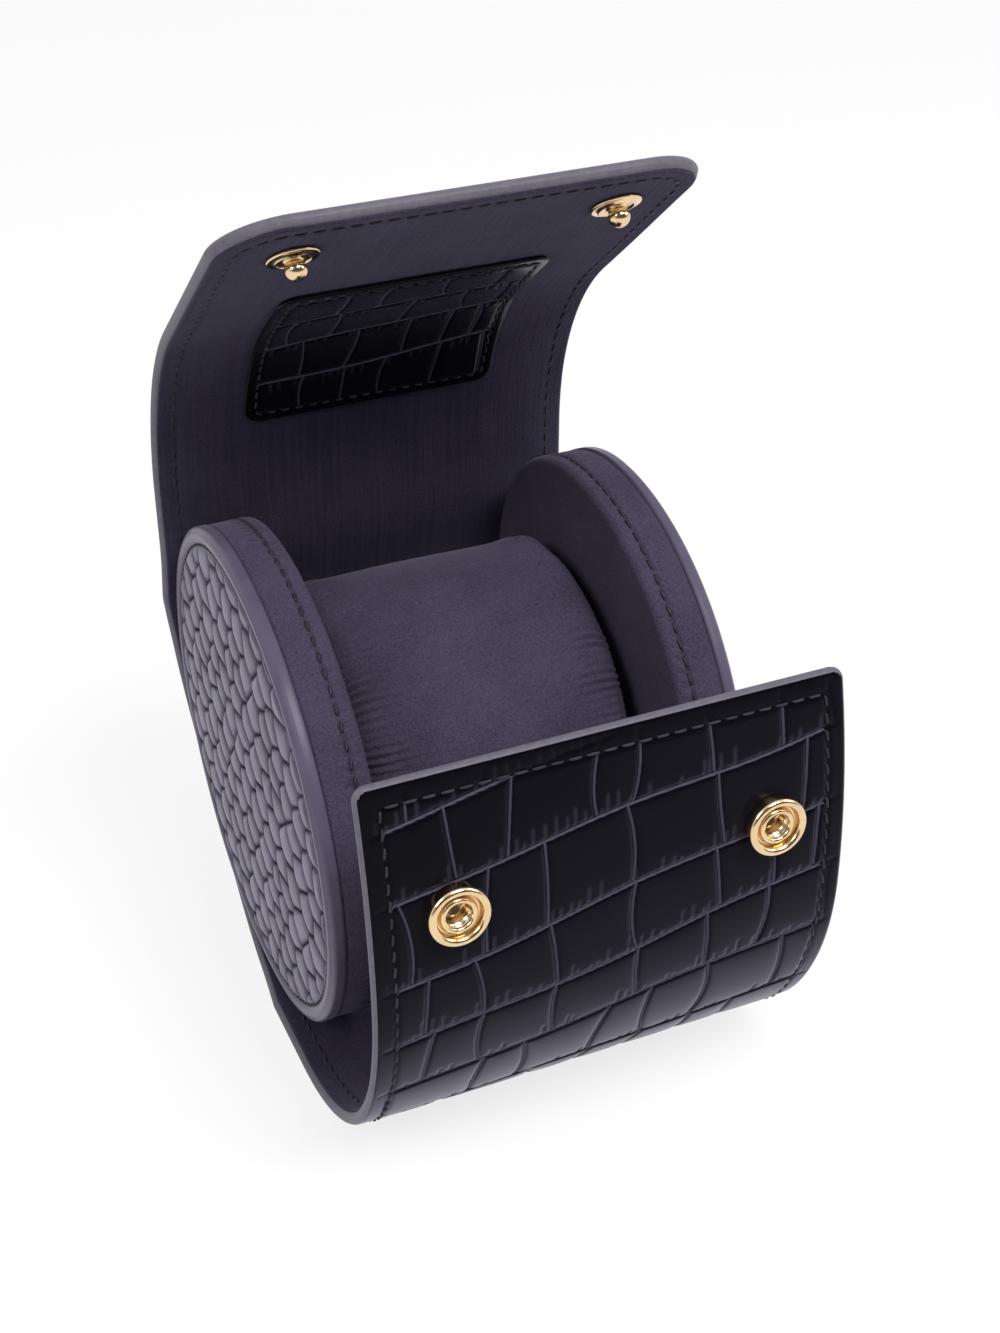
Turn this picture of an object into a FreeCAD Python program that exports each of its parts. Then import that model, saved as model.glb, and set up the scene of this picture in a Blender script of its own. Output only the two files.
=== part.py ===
import FreeCAD, Part
import math
import os

os.makedirs("parts", exist_ok=True)

# Driving sizes in millimetres. X runs across the roll, +Y to the back, +Z up.
wrap_width = 76.0
leather_thickness = 1.1
board_thickness = 0.6
lining_thickness = 0.7
lip_corner_radius = 2.0
tip_corner_radius = 11.0
waist_depth = 3.2
waist_half_length = 36.0
waist_reach_in = 12.0

# The two padded ends are ovals drawn with four arcs.
end_long_axis = 84.4
end_short_axis = 74.2
end_tilt_degrees = 39.5
end_recess = 2.1
end_face_thickness = 2.0
end_core_thickness = 7.3
end_skin_thickness = 0.8
end_edge_round = 0.7
end_seat_gap = 0.2
glue_gap = 0.05

# The wrap, followed along the face of its lining.
room_under_ends = 1.0
foot_length = 26.0
foot_past_low_point = 5.538
front_bend_radius = 33.6
front_bend_degrees = 60.0
front_rise_radius = 49.6
front_rise_degrees = 30.0
front_top_radius = 129.6
front_top_degrees = 16.0
back_hug_degrees = 15.0
back_ease_radius = 41.0
back_ease_degrees = 15.0
flap_straight_length = 7.3
flap_curl_radius = 48.0
flap_curl_degrees = 50.0
flap_length = 96.0
front_fold_place = 64.0
tip_length = 30.0
front_fold_gap = 0.6
flap_fold_gap = 0.9
flap_fold_depth = 0.9

# Press studs: sockets on the front, ball studs on the flap.
snap_from_side = 12.8
socket_from_lip = 21.5
stud_from_fold = 17.984
socket_radius = 4.75
socket_plate_thickness = 0.6
socket_height = 2.4
socket_rim_width = 1.3
socket_collar_width = 0.8
socket_collar_drop = 0.4
socket_bore_radius = 2.0
socket_barrel_wall = 0.35
spring_groove_height = 0.8
spring_groove_depth = 0.5
spring_wire_radius = 0.22
rivet_radius = 4.4
rivet_thickness = 0.6
rivet_clearance = 0.15
stud_flange_radius = 4.0
stud_flange_thickness = 0.8
stud_neck_radius = 1.25
stud_ball_radius = 1.7
stud_ball_height = 2.0
stud_post_radius = 0.8
stud_post_depth = 1.6
cap_radius = 4.9
cap_thickness = 1.3
cap_edge_thickness = 0.5

# The bare leather patch on the inside of the flap.
patch_from_side = 15.5
patch_length = 43.0
patch_from_fold = 2.5
patch_thickness = 0.8
patch_corner_radius = 3.0

# The cushion between the ends.
cushion_inset = 11.0
cushion_end_gap = 0.5
cushion_cover_thickness = 0.8
cushion_soft_gap = 0.3
cushion_round_length = 7.0
cushion_round_depth = 6.0
cushion_crown = 0.8

# Sizes that follow from the ones above.
half_width = wrap_width / 2
snap_spacing = wrap_width - 2 * snap_from_side
flap_fold_place = flap_length - tip_length
patch_width = wrap_width - 2 * patch_from_side
patch_high_place = flap_fold_place - patch_from_fold
patch_low_place = patch_high_place - patch_length
wrap_thickness = leather_thickness + board_thickness + lining_thickness
end_half_long = end_long_axis / 2
end_half_short = end_short_axis / 2
oval_shift = (end_half_long - end_half_short) / (2 - math.sqrt(2))
oval_tip_radius = end_half_long - oval_shift
oval_side_radius = end_half_short + oval_shift
end_face_place = half_width - end_recess
end_total_thickness = end_face_thickness + end_core_thickness + end_skin_thickness
end_inner_place = end_face_place - end_total_thickness


def place(x, y, z):
    return FreeCAD.Vector(x, y, z)


def heading_step(degrees):
    return math.cos(math.radians(degrees)), math.sin(math.radians(degrees))


def oval_centre(degrees):
    step_y, step_z = heading_step(degrees)
    return oval_shift * step_y, oval_shift * step_z


def arc_leg(radius, degrees):
    return radius * math.radians(abs(degrees)), degrees


# Oval centres of the back end arc and of the lower side arc.
tip_centre_y, tip_centre_z = oval_centre(end_tilt_degrees)
side_centre_y, side_centre_z = oval_centre(end_tilt_degrees + 90)
foot_level = side_centre_z - oval_side_radius - room_under_ends
foot_end = side_centre_y + foot_past_low_point
back_radius = tip_centre_y + oval_tip_radius + end_seat_gap - foot_end
back_rise = tip_centre_z - (foot_level + back_radius)

# Runs of the lining's face: each leg is a length and the turn it makes.
base_run = [
    (foot_length, 0),
    arc_leg(back_radius, 90),
    (back_rise, 0),
    arc_leg(oval_tip_radius + end_seat_gap, back_hug_degrees),
    arc_leg(back_ease_radius, -back_ease_degrees),
]
front_run = [
    arc_leg(front_bend_radius, -front_bend_degrees),
    arc_leg(front_rise_radius, -front_rise_degrees),
    arc_leg(front_top_radius, -front_top_degrees),
]
flap_curl = arc_leg(flap_curl_radius, flap_curl_degrees)
flap_run = [
    (flap_straight_length, 0),
    flap_curl,
    (flap_length - flap_straight_length - flap_curl[0], 0),
]


def run_length(run):
    return sum(length for length, turn in run)


def move(station, length, turn):
    """Go along one leg from (y, z, heading)."""
    y, z, heading = station
    chord = length
    if turn:
        chord = 2 * length / math.radians(turn) * math.sin(math.radians(turn) / 2)
    step_y, step_z = heading_step(heading + turn / 2)
    return y + chord * step_y, z + chord * step_z, heading + turn


def station_at(start, run, reach):
    """The (y, z, heading) found at a distance along a run."""
    station = start
    left = reach
    for length, turn in run:
        used = min(length, left)
        station = move(station, used, turn * used / length)
        left -= used
    return station


def stretch(run, begin, finish):
    """The legs of a run between two distances."""
    legs = []
    passed = 0
    for length, turn in run:
        low = max(begin, passed)
        high = min(finish, passed + length)
        if high > low:
            legs.append((high - low, turn * (high - low) / length))
        passed += length
    return legs


def beside(station, side, offset, x):
    """A point at an offset from the lining's face; side is +90 or -90 degrees."""
    y, z, heading = station
    step_y, step_z = heading_step(heading + side)
    return place(x, y + offset * step_y, z + offset * step_z)


def layer(start, side, run, begin, finish, near, far, half):
    """A sheet that follows a run between two distances and two depths."""
    station = station_at(start, run, begin)
    edges = []
    ends = [(beside(station, side, near, -half), beside(station, side, far, -half))]
    for length, turn in stretch(run, begin, finish):
        middle = move(station, length / 2, turn / 2)
        after = move(station, length, turn)
        for depth in (near, far):
            first = beside(station, side, depth, -half)
            last = beside(after, side, depth, -half)
            if turn:
                bend = beside(middle, side, depth, -half)
                edges.append(Part.Arc(first, bend, last).toShape())
            else:
                edges.append(Part.makeLine(first, last))
        station = after
    ends.append((beside(station, side, near, -half), beside(station, side, far, -half)))
    for first, last in ends:
        edges.append(Part.makeLine(first, last))
    wire = Part.Wire(Part.__sortEdges__(edges))
    return Part.Face(wire).extrude(place(2 * half, 0, 0))


def round_corners(solid, station, side, near, far, half, radius):
    """Round the two corners of a sheet at its free end."""
    middle = (near + far) / 2
    spots = [beside(station, side, middle, x) for x in (-half, half)]
    reach = (far - near) / 2
    picked = []
    for edge in solid.Edges:
        for spot in spots:
            if edge.CenterOfMass.distanceToPoint(spot) < reach:
                picked.append(edge)
    return solid.makeFillet(radius, picked)


# Where each run of the wrap starts, and the side its leather is on.
front_start = (foot_end - foot_length, foot_level, 180)
base_start = (foot_end - foot_length, foot_level, 0)
flap_start = station_at(base_start, base_run, run_length(base_run))
front_side = 90
back_side = -90
front_length = run_length(front_run)

# Depth of each layer, measured out from the lining's face.
layer_depths = {
    "lining": (0, lining_thickness),
    "board": (lining_thickness, lining_thickness + board_thickness),
    "leather": (lining_thickness + board_thickness, wrap_thickness),
}
half_front_gap = front_fold_gap / 2
half_flap_gap = flap_fold_gap / 2

# Panels of the wrap: start, side, run, first and last distance.
panels = {
    "base": (base_start, back_side, base_run, half_front_gap, run_length(base_run) - half_flap_gap),
    "front": (front_start, front_side, front_run, half_front_gap, front_fold_place - half_front_gap),
    "lip": (front_start, front_side, front_run, front_fold_place + half_front_gap, front_length),
    "flap": (flap_start, back_side, flap_run, half_flap_gap, flap_fold_place - half_flap_gap),
    "tip": (flap_start, back_side, flap_run, flap_fold_place + half_flap_gap, flap_length),
}
free_corners = {"lip": lip_corner_radius, "tip": tip_corner_radius}


def waist_cutters():
    """Two wide drums that draw in the sides of the wrap at the lower back."""
    radius = (waist_half_length ** 2 + waist_depth ** 2) / (2 * waist_depth)
    step_y, step_z = heading_step(-45)
    start_y = waist_reach_in * step_y
    start_z = waist_reach_in * step_z
    drums = []
    for sign in (-1, 1):
        spot = place(sign * (half_width - waist_depth + radius), start_y, start_z)
        drums.append(Part.makeCylinder(radius, end_long_axis, spot, place(0, step_y, step_z)))
    return drums


def wrap_panels():
    """Lining, board and leather of each panel of the wrap."""
    made = {}
    drums = waist_cutters()
    for panel, (start, side, run, begin, finish) in panels.items():
        for kind, (near, far) in layer_depths.items():
            solid = layer(start, side, run, begin, finish, near, far, half_width)
            if panel in free_corners:
                end = station_at(start, run, finish)
                solid = round_corners(solid, end, side, near, far, half_width, free_corners[panel])
            if panel == "base":
                solid = solid.cut(drums)
            made[kind + "_" + panel] = solid
    return made


def oval_wire(x, inset):
    """The oval of the ends, drawn in by an inset, in the plane at x."""
    edges = []
    for quarter in range(4):
        middle = end_tilt_degrees + 90 * quarter
        radius = (oval_tip_radius, oval_side_radius)[quarter % 2] - inset
        turned = (middle, middle + 180)[quarter % 2]
        centre_y, centre_z = oval_centre(turned)
        spots = []
        for degrees in (middle - 45, middle, middle + 45):
            step_y, step_z = heading_step(degrees)
            spots.append(place(x, centre_y + radius * step_y, centre_z + radius * step_z))
        edges.append(Part.Arc(*spots).toShape())
    return Part.Wire(edges)


def oval_plate(x, thickness, inset):
    return Part.Face(oval_wire(x, inset)).extrude(place(thickness, 0, 0))


def padded_end(sign):
    """Face, core, rim band and inner skin of one end; sign is the side of the roll."""
    face_inner = end_face_place - end_face_thickness
    core_inner = face_inner - end_core_thickness
    face = oval_plate(sign * face_inner, sign * end_face_thickness, 0)
    rim = [e for e in face.Edges if abs(e.CenterOfMass.x - sign * end_face_place) < end_edge_round]
    face = face.makeFillet(end_edge_round, rim)
    core_length = end_core_thickness - 2 * glue_gap
    core_inset = end_skin_thickness + glue_gap
    core = oval_plate(sign * (core_inner + glue_gap), sign * core_length, core_inset)
    band = oval_plate(sign * core_inner, sign * end_core_thickness, 0)
    hollow = oval_plate(sign * core_inner, sign * end_core_thickness, end_skin_thickness)
    skin = oval_plate(sign * end_inner_place, sign * end_skin_thickness, 0)
    return {"end_face": face, "end_core": core, "end_band": band.cut(hollow), "end_skin": skin}


def cushion_body(inset, half_length):
    """A soft roll with a crowned middle and ends that draw in."""
    shares = (-1, -0.72, -0.3, 0, 0.3, 0.72, 1)
    straight = half_length - cushion_round_length
    places = [(-half_length, cushion_round_depth)]
    places.append((-half_length + cushion_round_length / 4, cushion_round_depth / 3))
    for share in shares:
        places.append((share * straight, cushion_crown * share ** 2))
    places.append((half_length - cushion_round_length / 4, cushion_round_depth / 3))
    places.append((half_length, cushion_round_depth))
    wires = [oval_wire(x, cushion_inset + inset + drop) for x, drop in places]
    return Part.makeLoft(wires, True, False)


def cushion_pieces():
    """The suede cover and the foam inside it."""
    half_length = end_inner_place - cushion_end_gap
    inner_half = half_length - cushion_cover_thickness
    foam_inset = cushion_cover_thickness + cushion_soft_gap
    cover = cushion_body(0, half_length).cut(cushion_body(cushion_cover_thickness, inner_half))
    foam = cushion_body(foam_inset, half_length - foam_inset)
    return {"cushion_cover": cover, "cushion_foam": foam}


def turned(points, base, axis):
    """Spin a profile of (radius, height) points about an axis through base."""
    corners = [place(radius, 0, height) for radius, height in points]
    face = Part.Face(Part.makePolygon(corners + corners[:1]))
    solid = face.revolve(place(0, 0, 0), place(0, 0, 1), 360)
    solid.Placement = FreeCAD.Placement(base, FreeCAD.Rotation(place(0, 0, 1), axis))
    return solid


def snap_socket(base, axis):
    """Ring socket with a collar, a spring groove and a barrel through the wrap."""
    bore = socket_bore_radius
    rim_inner = socket_radius - socket_rim_width
    collar = bore + socket_collar_width
    barrel = bore + socket_barrel_wall
    floor = socket_plate_thickness
    bevel = socket_rim_width / 4
    points = [
        (bore, -wrap_thickness), (barrel, -wrap_thickness), (barrel, 0), (socket_radius, 0),
        (socket_radius, socket_height - bevel), (socket_radius - bevel, socket_height),
        (rim_inner + bevel, socket_height), (rim_inner, socket_height - bevel),
        (rim_inner, floor), (collar, floor), (collar, socket_height - socket_collar_drop),
        (bore, socket_height - socket_collar_drop), (bore, floor + spring_groove_height),
        (bore + spring_groove_depth, floor + spring_groove_height), (bore + spring_groove_depth, floor),
        (bore, floor),
    ]
    return turned(points, base, axis)


def snap_spring(base, axis):
    """Round wire ring that lies in the socket's groove."""
    radius = socket_bore_radius + spring_groove_depth - spring_wire_radius - glue_gap
    height = socket_plate_thickness + spring_groove_height / 2
    ring = Part.makeTorus(radius, spring_wire_radius)
    ring.translate(place(0, 0, height))
    ring.Placement = FreeCAD.Placement(base, FreeCAD.Rotation(place(0, 0, 1), axis)).multiply(ring.Placement)
    return ring


def snap_rivet(base, axis):
    """Washer rolled over the socket's barrel on the lining side."""
    hole = socket_bore_radius + socket_barrel_wall + rivet_clearance
    edge = rivet_thickness / 2
    points = [
        (socket_bore_radius, 0), (hole, 0), (rivet_radius, 0), (rivet_radius, edge),
        (rivet_radius - edge, rivet_thickness), (socket_bore_radius, rivet_thickness),
    ]
    return turned(points, base, axis)


def snap_stud(base, axis):
    """Flange, neck and ball, with a blind hole for the cap's post."""
    flange = Part.makeCylinder(stud_flange_radius, stud_flange_thickness)
    rim = [e for e in flange.Edges if abs(e.CenterOfMass.z - stud_flange_thickness) < glue_gap]
    flange = flange.makeFillet(stud_flange_thickness / 2, [e for e in rim if len(e.Vertexes) == 1])
    neck = Part.makeCylinder(stud_neck_radius, stud_ball_height)
    ball = Part.makeSphere(stud_ball_radius, place(0, 0, stud_ball_height))
    hole = Part.makeCylinder(stud_post_radius, stud_post_depth)
    solid = flange.fuse([neck, ball]).cut(hole).removeSplitter()
    solid.Placement = FreeCAD.Placement(base, FreeCAD.Rotation(place(0, 0, 1), axis))
    return solid


def snap_cap(base, axis):
    """Low domed cap on the leather, with a post that reaches into the stud."""
    post = stud_post_radius - glue_gap
    reach = wrap_thickness + stud_post_depth - rivet_clearance
    rise = cap_thickness - cap_edge_thickness
    points = [(0, -reach), (post, -reach), (post, 0), (cap_radius, 0), (cap_radius, cap_edge_thickness)]
    for share in (0.8, 0.5, 0.25):
        points.append((cap_radius * share, cap_edge_thickness + rise * (1 - share ** 2)))
    points.append((0, cap_thickness))
    return turned(points, base, axis)


def bored(shapes, panel, base, axis, radius):
    """Clear a hole for a snap through the three layers of a panel."""
    reach = 2 * wrap_thickness
    start = base - axis * reach
    drill = Part.makeCylinder(radius, 2 * reach, start, axis)
    for kind in layer_depths:
        name = kind + "_" + panel
        shapes[name] = shapes[name].cut(drill)


def add_snaps(shapes):
    """Two sockets on the lip panel and two ball studs on the tip panel."""
    lip = station_at(front_start, front_run, front_length - socket_from_lip)
    tip = station_at(flap_start, flap_run, flap_fold_place + stud_from_fold)
    barrel_hole = socket_bore_radius + socket_barrel_wall + rivet_clearance
    post_hole = stud_post_radius + rivet_clearance
    # The flat washer clears the hollow of the bent lining by its sag.
    rivet_seat = glue_gap + rivet_radius ** 2 / (2 * front_top_radius)
    for side_name, sign in (("left", -1), ("right", 1)):
        x = sign * snap_spacing / 2
        inner = beside(lip, front_side, 0, x)
        outer = beside(lip, front_side, wrap_thickness + glue_gap, x)
        axis = (outer - inner).normalize()
        bored(shapes, "lip", inner, axis, barrel_hole)
        shapes["socket_" + side_name] = snap_socket(outer, axis)
        shapes["socket_spring_" + side_name] = snap_spring(outer, axis)
        shapes["socket_rivet_" + side_name] = snap_rivet(inner - axis * rivet_seat, axis * -1)
        inner = beside(tip, back_side, 0, x)
        outer = beside(tip, back_side, wrap_thickness + glue_gap, x)
        axis = (outer - inner).normalize()
        bored(shapes, "tip", inner, axis, post_hole)
        shapes["stud_" + side_name] = snap_stud(inner - axis * glue_gap, axis * -1)
        shapes["stud_cap_" + side_name] = snap_cap(outer, axis)


def inner_patch():
    """Bare leather patch sewn to the lining of the flap."""
    half = patch_width / 2
    near = -patch_thickness - glue_gap
    solid = layer(flap_start, back_side, flap_run, patch_low_place, patch_high_place, near, -glue_gap, half)
    for reach in (patch_low_place, patch_high_place):
        end = station_at(flap_start, flap_run, reach)
        solid = round_corners(solid, end, back_side, near, -glue_gap, half, patch_corner_radius)
    return solid


def build():
    """Every piece of the roll by name, standing on its foot at the origin."""
    shapes = wrap_panels()
    for side_name, sign in (("left", -1), ("right", 1)):
        for kind, solid in padded_end(sign).items():
            shapes[kind + "_" + side_name] = solid
    shapes.update(cushion_pieces())
    shapes["flap_patch"] = inner_patch()
    add_snaps(shapes)
    box = Part.makeCompound(list(shapes.values())).optimalBoundingBox(False)
    shift = place(-box.Center.x, -box.Center.y, -box.ZMin)
    for solid in shapes.values():
        solid.translate(shift)
    return shapes, shift


pieces, frame_shift = build()
for name, solid in pieces.items():
    solid.exportStep(os.path.join("parts", name + ".step"))
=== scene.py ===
import math
from collections import namedtuple

import bpy
import numpy as np
from mathutils import Matrix, Vector


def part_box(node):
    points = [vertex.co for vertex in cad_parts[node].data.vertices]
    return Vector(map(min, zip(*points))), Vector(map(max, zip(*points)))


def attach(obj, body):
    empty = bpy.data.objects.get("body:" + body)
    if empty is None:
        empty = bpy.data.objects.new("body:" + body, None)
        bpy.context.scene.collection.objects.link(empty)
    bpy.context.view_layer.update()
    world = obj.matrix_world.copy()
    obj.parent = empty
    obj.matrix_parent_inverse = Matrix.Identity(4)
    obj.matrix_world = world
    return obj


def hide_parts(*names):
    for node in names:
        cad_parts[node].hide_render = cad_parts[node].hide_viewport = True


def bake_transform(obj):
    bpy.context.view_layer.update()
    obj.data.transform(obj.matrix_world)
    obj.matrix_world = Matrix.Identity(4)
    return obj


bl_info = {
    "name": "Watch Roll",
    "version": (1, 0, 0),
    "blender": (4, 5, 0),
    "location": "3D View > Sidebar > Watch Roll",
    "description": "Dresses a jointed watch roll in embossed leather, suede, thread and gold snaps",
    "category": "Object",
}

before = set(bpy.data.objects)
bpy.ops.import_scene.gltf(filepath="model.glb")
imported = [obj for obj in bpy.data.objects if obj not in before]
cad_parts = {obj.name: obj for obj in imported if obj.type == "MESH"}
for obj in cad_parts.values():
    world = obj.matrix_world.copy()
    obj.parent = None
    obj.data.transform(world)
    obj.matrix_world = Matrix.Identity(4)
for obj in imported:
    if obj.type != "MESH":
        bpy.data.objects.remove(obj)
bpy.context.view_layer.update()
MM = 0.001
SIDES = (("left", -1), ("right", 1))

# A distance past any edge, and the radius at which a turned piece closes, in millimetres.
FAR, TINY = 9e9, 0.0005

# The middle of the oval ends is where the wrap's own measures start from.
END_LOW, END_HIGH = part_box("end_face_left")
ROLL_MIDDLE = (np.array(END_LOW) + np.array(END_HIGH)) / 2 * np.array([0, 1, 1])

# Oval of the ends, in millimetres: four arcs about four centres.
OVAL_LONG, OVAL_SHORT, OVAL_TILT = 42.2, 37.1, 39.5
OVAL_SHIFT = (OVAL_LONG - OVAL_SHORT) / (2 - math.sqrt(2))
OVAL_TIP = OVAL_LONG - OVAL_SHIFT
OVAL_SIDE = OVAL_SHORT + OVAL_SHIFT
FACE_OUT, FACE_IN, SKIN_IN = 35.9, 33.9, 25.8
DRUM_SEAM = SKIN_IN + (FACE_IN - SKIN_IN) * 0.34
CUSHION_HALF, CUSHION_INSET = 25.3, 11.0

# Line of the wrap along the face of its lining: (length, turn) legs.
WRAP_HALF, WRAP_DEPTH = 38.0, 2.4
FOOT_LENGTH, SEAT_GAP, FOOT_ROOM = 26.0, 0.2, 1.0
FOOT_LEVEL = OVAL_SHIFT * math.sin(math.radians(OVAL_TILT + 90)) - OVAL_SIDE - FOOT_ROOM
BACK_PLACE = OVAL_SHIFT * math.cos(math.radians(OVAL_TILT)) + OVAL_TIP + SEAT_GAP
BACK_RISE = OVAL_SHIFT * math.sin(math.radians(OVAL_TILT)) - FOOT_LEVEL - BACK_PLACE


def bend(radius, degrees):
    """One curved leg: its length is radius times the turn."""
    return radius * math.radians(abs(degrees)), degrees


FLAP_LENGTH, FLAP_STRAIGHT, FLAP_CURL = 96.0, 7.3, bend(48.0, 50)
FRONT_LEGS = (bend(33.6, -60), bend(49.6, -30), bend(129.6, -16))
BASE_LEGS = (
    (FOOT_LENGTH, 0), bend(BACK_PLACE, 90), (BACK_RISE, 0), bend(OVAL_TIP + SEAT_GAP, 15), bend(41.0, -15))
FLAP_LEGS = ((FLAP_STRAIGHT, 0), FLAP_CURL, (FLAP_LENGTH - FLAP_STRAIGHT - FLAP_CURL[0], 0))
FRONT_LENGTH = sum(length for length, turn in FRONT_LEGS)
BASE_LENGTH = sum(length for length, turn in BASE_LEGS)

# Places along the wrap, in millimetres from the front of the foot; the front panel is negative.
LIP_END, TIP_END = -FRONT_LENGTH, BASE_LENGTH + FLAP_LENGTH
LIP_FOLD, FLAP_FOLD, TIP_FOLD = -64.0, BASE_LENGTH, BASE_LENGTH + 66.0
FRONT_CUT, BASE_CUT, FLAP_CUT = -34.0, 52.0, BASE_LENGTH + 34.0
SOCKET_PLACE, STUD_PLACE = LIP_END + 21.5, TIP_FOLD + 17.984
PATCH_LOW, PATCH_HIGH = BASE_LENGTH + 20.5, BASE_LENGTH + 63.5

# Places across, corners, the waist of the base, the painted edge and how far the lining stops short of it.
SNAP_HALF, PATCH_HALF = 25.2, 22.5
LIP_CORNER, TIP_CORNER, PATCH_CORNER = 2.0, 11.0, 3.0
WAIST_DEPTH, WAIST_RADIUS, WAIST_REACH = 3.2, 204.1, 12.0
EDGE_WIDTH, LINING_INSET = 0.7, 0.7

# Steps of a sheet's grid in from its free ends and in from its sides, then where the even steps begin.
END_STEPS = np.array([0.015, 0.07, 0.17, 0.32, 0.52, 0.76, 1.05])
SIDE_STEPS = np.array([0.0, 0.06, 0.16, 0.32, 0.52, 0.76, 1.05])
EVEN_FROM = 1.35

# Painted highlight on the lit edge of a scale, in millimetres past the seam: its middle and half its width.
LIT_PLACE, LIT_HALF = 0.2, 0.3

# Hole in the leather under a socket: how far it reaches, the width of its wall and its depth.
PIT_REACH, PIT_WALL, PIT_DEPTH = 3.0, 0.6, 1.75


def length_of(name, description, default):
    """A length that the panel shows."""
    return bpy.props.FloatProperty(name=name, description=description, default=default, unit="LENGTH")


def colour_of(name, description, red, green, blue):
    """A colour that the panel shows."""
    return bpy.props.FloatVectorProperty(
        name=name, description=description, subtype="COLOR", size=4, default=(red, green, blue, 1))


class RollSizes(bpy.types.PropertyGroup):
    """Sizes of the sewing and of the embossing."""

    stitch_margin: length_of("Stitch margin", "Distance of the seam from the edge", 0.0034)
    stitch_pitch: length_of("Stitch pitch", "Distance from one stitch to the next", 0.0027)
    stitch_length: length_of("Stitch length", "Length of thread that shows in one stitch", 0.0021)
    thread_radius: length_of("Thread radius", "Half the thickness of the thread", 0.00024)
    groove_depth: length_of("Groove depth", "Depth of the grooves between the scales", 0.0005)
    grid_step: length_of("Grid step", "Spacing of the grid that carries the embossing", 0.00029)
    gather_height: length_of("Gather height", "Height of the gathers at the cushion's ends", 0.00055)


class RollColours(bpy.types.PropertyGroup):
    """Colours of the leather, suede, thread and metal."""

    leather: colour_of("Leather", "Scale-embossed leather", 0.0016, 0.0016, 0.003)
    # Painted highlight: this colour lightens the lit edge of each scale and the ticks on the wrap and the
    # patch.
    leather_worn: colour_of("Highlit leather", "Highlit edges of the scales", 0.072, 0.069, 0.099)
    # Much lighter than the wrap's leather: partly the ends' own tone, partly painted light from the key lamp
    # on the ends.
    end_leather: colour_of("End leather", "Fine-scale leather of the ends", 0.074, 0.065, 0.099)
    edge: colour_of("Edge paint", "Painted edge of the wrap", 0.142, 0.133, 0.166)
    suede: colour_of("Suede", "Cushion and drum suede", 0.036, 0.0315, 0.051)
    # Painted shade: the same suede as the drums, darker for the shade on the inside of the wrap.
    lining: colour_of("Lining", "Suede on the inside of the wrap", 0.0245, 0.0215, 0.0375)
    thread: colour_of("Thread", "Sewing thread", 0.009, 0.0085, 0.012)
    gold: colour_of("Snap metal", "Pale gold plate of the snaps", 0.88, 0.69, 0.44)


class StageSettings(bpy.types.PropertyGroup):
    """Floor, light and camera."""

    floor_colour: colour_of("Floor", "Pale floor", 0.9, 0.9, 0.91)
    key_power: bpy.props.FloatProperty(
        name="Key light", description="Power that the lamps share", default=5.0, unit="POWER")
    lens: bpy.props.FloatProperty(
        name="Lens", description="Focal length of the camera", default=55.873, unit="CAMERA")


def in_mm(name):
    """One of the sizes, in millimetres."""
    return getattr(bpy.context.scene.watch_roll_sizes, name) / MM


def times(colour, *factors):
    """A colour times one factor, or times one for each channel."""
    return tuple(c * f for c, f in zip(colour[:3], factors * 3)) + (1,)


def colour(name, *factors):
    """One of the colours, as it is or times some factors."""
    return times(getattr(bpy.context.scene.watch_roll_colours, name), *(factors or (1.0,)))


def follow(start, legs, reach):
    """Go along the legs: each adds a chord 2 r sin(turn / 2) along its middle heading."""
    y, z, heading = (np.full(reach.shape, float(value)) for value in start)
    left = reach.astype(float)
    for length, turn in legs:
        used = np.clip(left, 0, length)
        turned = turn * used / length
        chord = used * np.sinc(turned / 360)
        way = np.radians(heading + turned / 2)
        y, z, heading = y + chord * np.cos(way), z + chord * np.sin(way), heading + turned
        left = left - used
    return y, z, heading


def wrap_line(reach):
    """The lining's face at a reach: front legs for negative reach, base and flap legs after.
    The normal points out."""
    reach = np.asarray(reach, float)
    front = follow((-FOOT_LENGTH, FOOT_LEVEL, 180), FRONT_LEGS, np.maximum(-reach, 0))
    back = follow((-FOOT_LENGTH, FOOT_LEVEL, 0), BASE_LEGS + FLAP_LEGS, np.maximum(reach, 0))
    before = reach < 0
    y, z = (np.where(before, front[i], back[i]) for i in (0, 1))
    normal = np.radians(np.where(before, front[2] + 90, back[2] - 90))
    return y, z, normal


def wrap_point(reach, x, depth):
    """A point of the wrap from its reach, its place across and its depth out from the lining's face."""
    y, z, normal = wrap_line(reach)
    shape = np.broadcast(reach, x, depth).shape
    parts = (x, y + depth * np.cos(normal), z + depth * np.sin(normal))
    return np.stack([np.broadcast_to(part, shape) for part in parts], -1)


def wrap_half(reach):
    """Half the wrap's width: drawn in on the base by the sag of a wide drum."""
    y, z, normal = wrap_line(reach)
    along = (y + z) / math.sqrt(2)
    sag = WAIST_RADIUS - np.sqrt(WAIST_RADIUS ** 2 - np.minimum(np.abs(along), WAIST_RADIUS) ** 2)
    on_base = (reach > 0) & (reach < BASE_LENGTH) & (y - z > WAIST_REACH * math.sqrt(2))
    return WRAP_HALF - np.where(on_base, np.maximum(WAIST_DEPTH - sag, 0), 0)


def patch_half(reach):
    """Half the patch's width, the same all along."""
    return np.full(np.shape(reach), PATCH_HALF)


# A flat outline on the wrap: from first to last along it, half_at to each side, then its free ends and the
# radius of their corners.
Outline = namedtuple("Outline", "first last half_at ends corner")
PATCH_OUTLINE = Outline(PATCH_LOW, PATCH_HIGH, patch_half, (PATCH_LOW, PATCH_HIGH), PATCH_CORNER)
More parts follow.
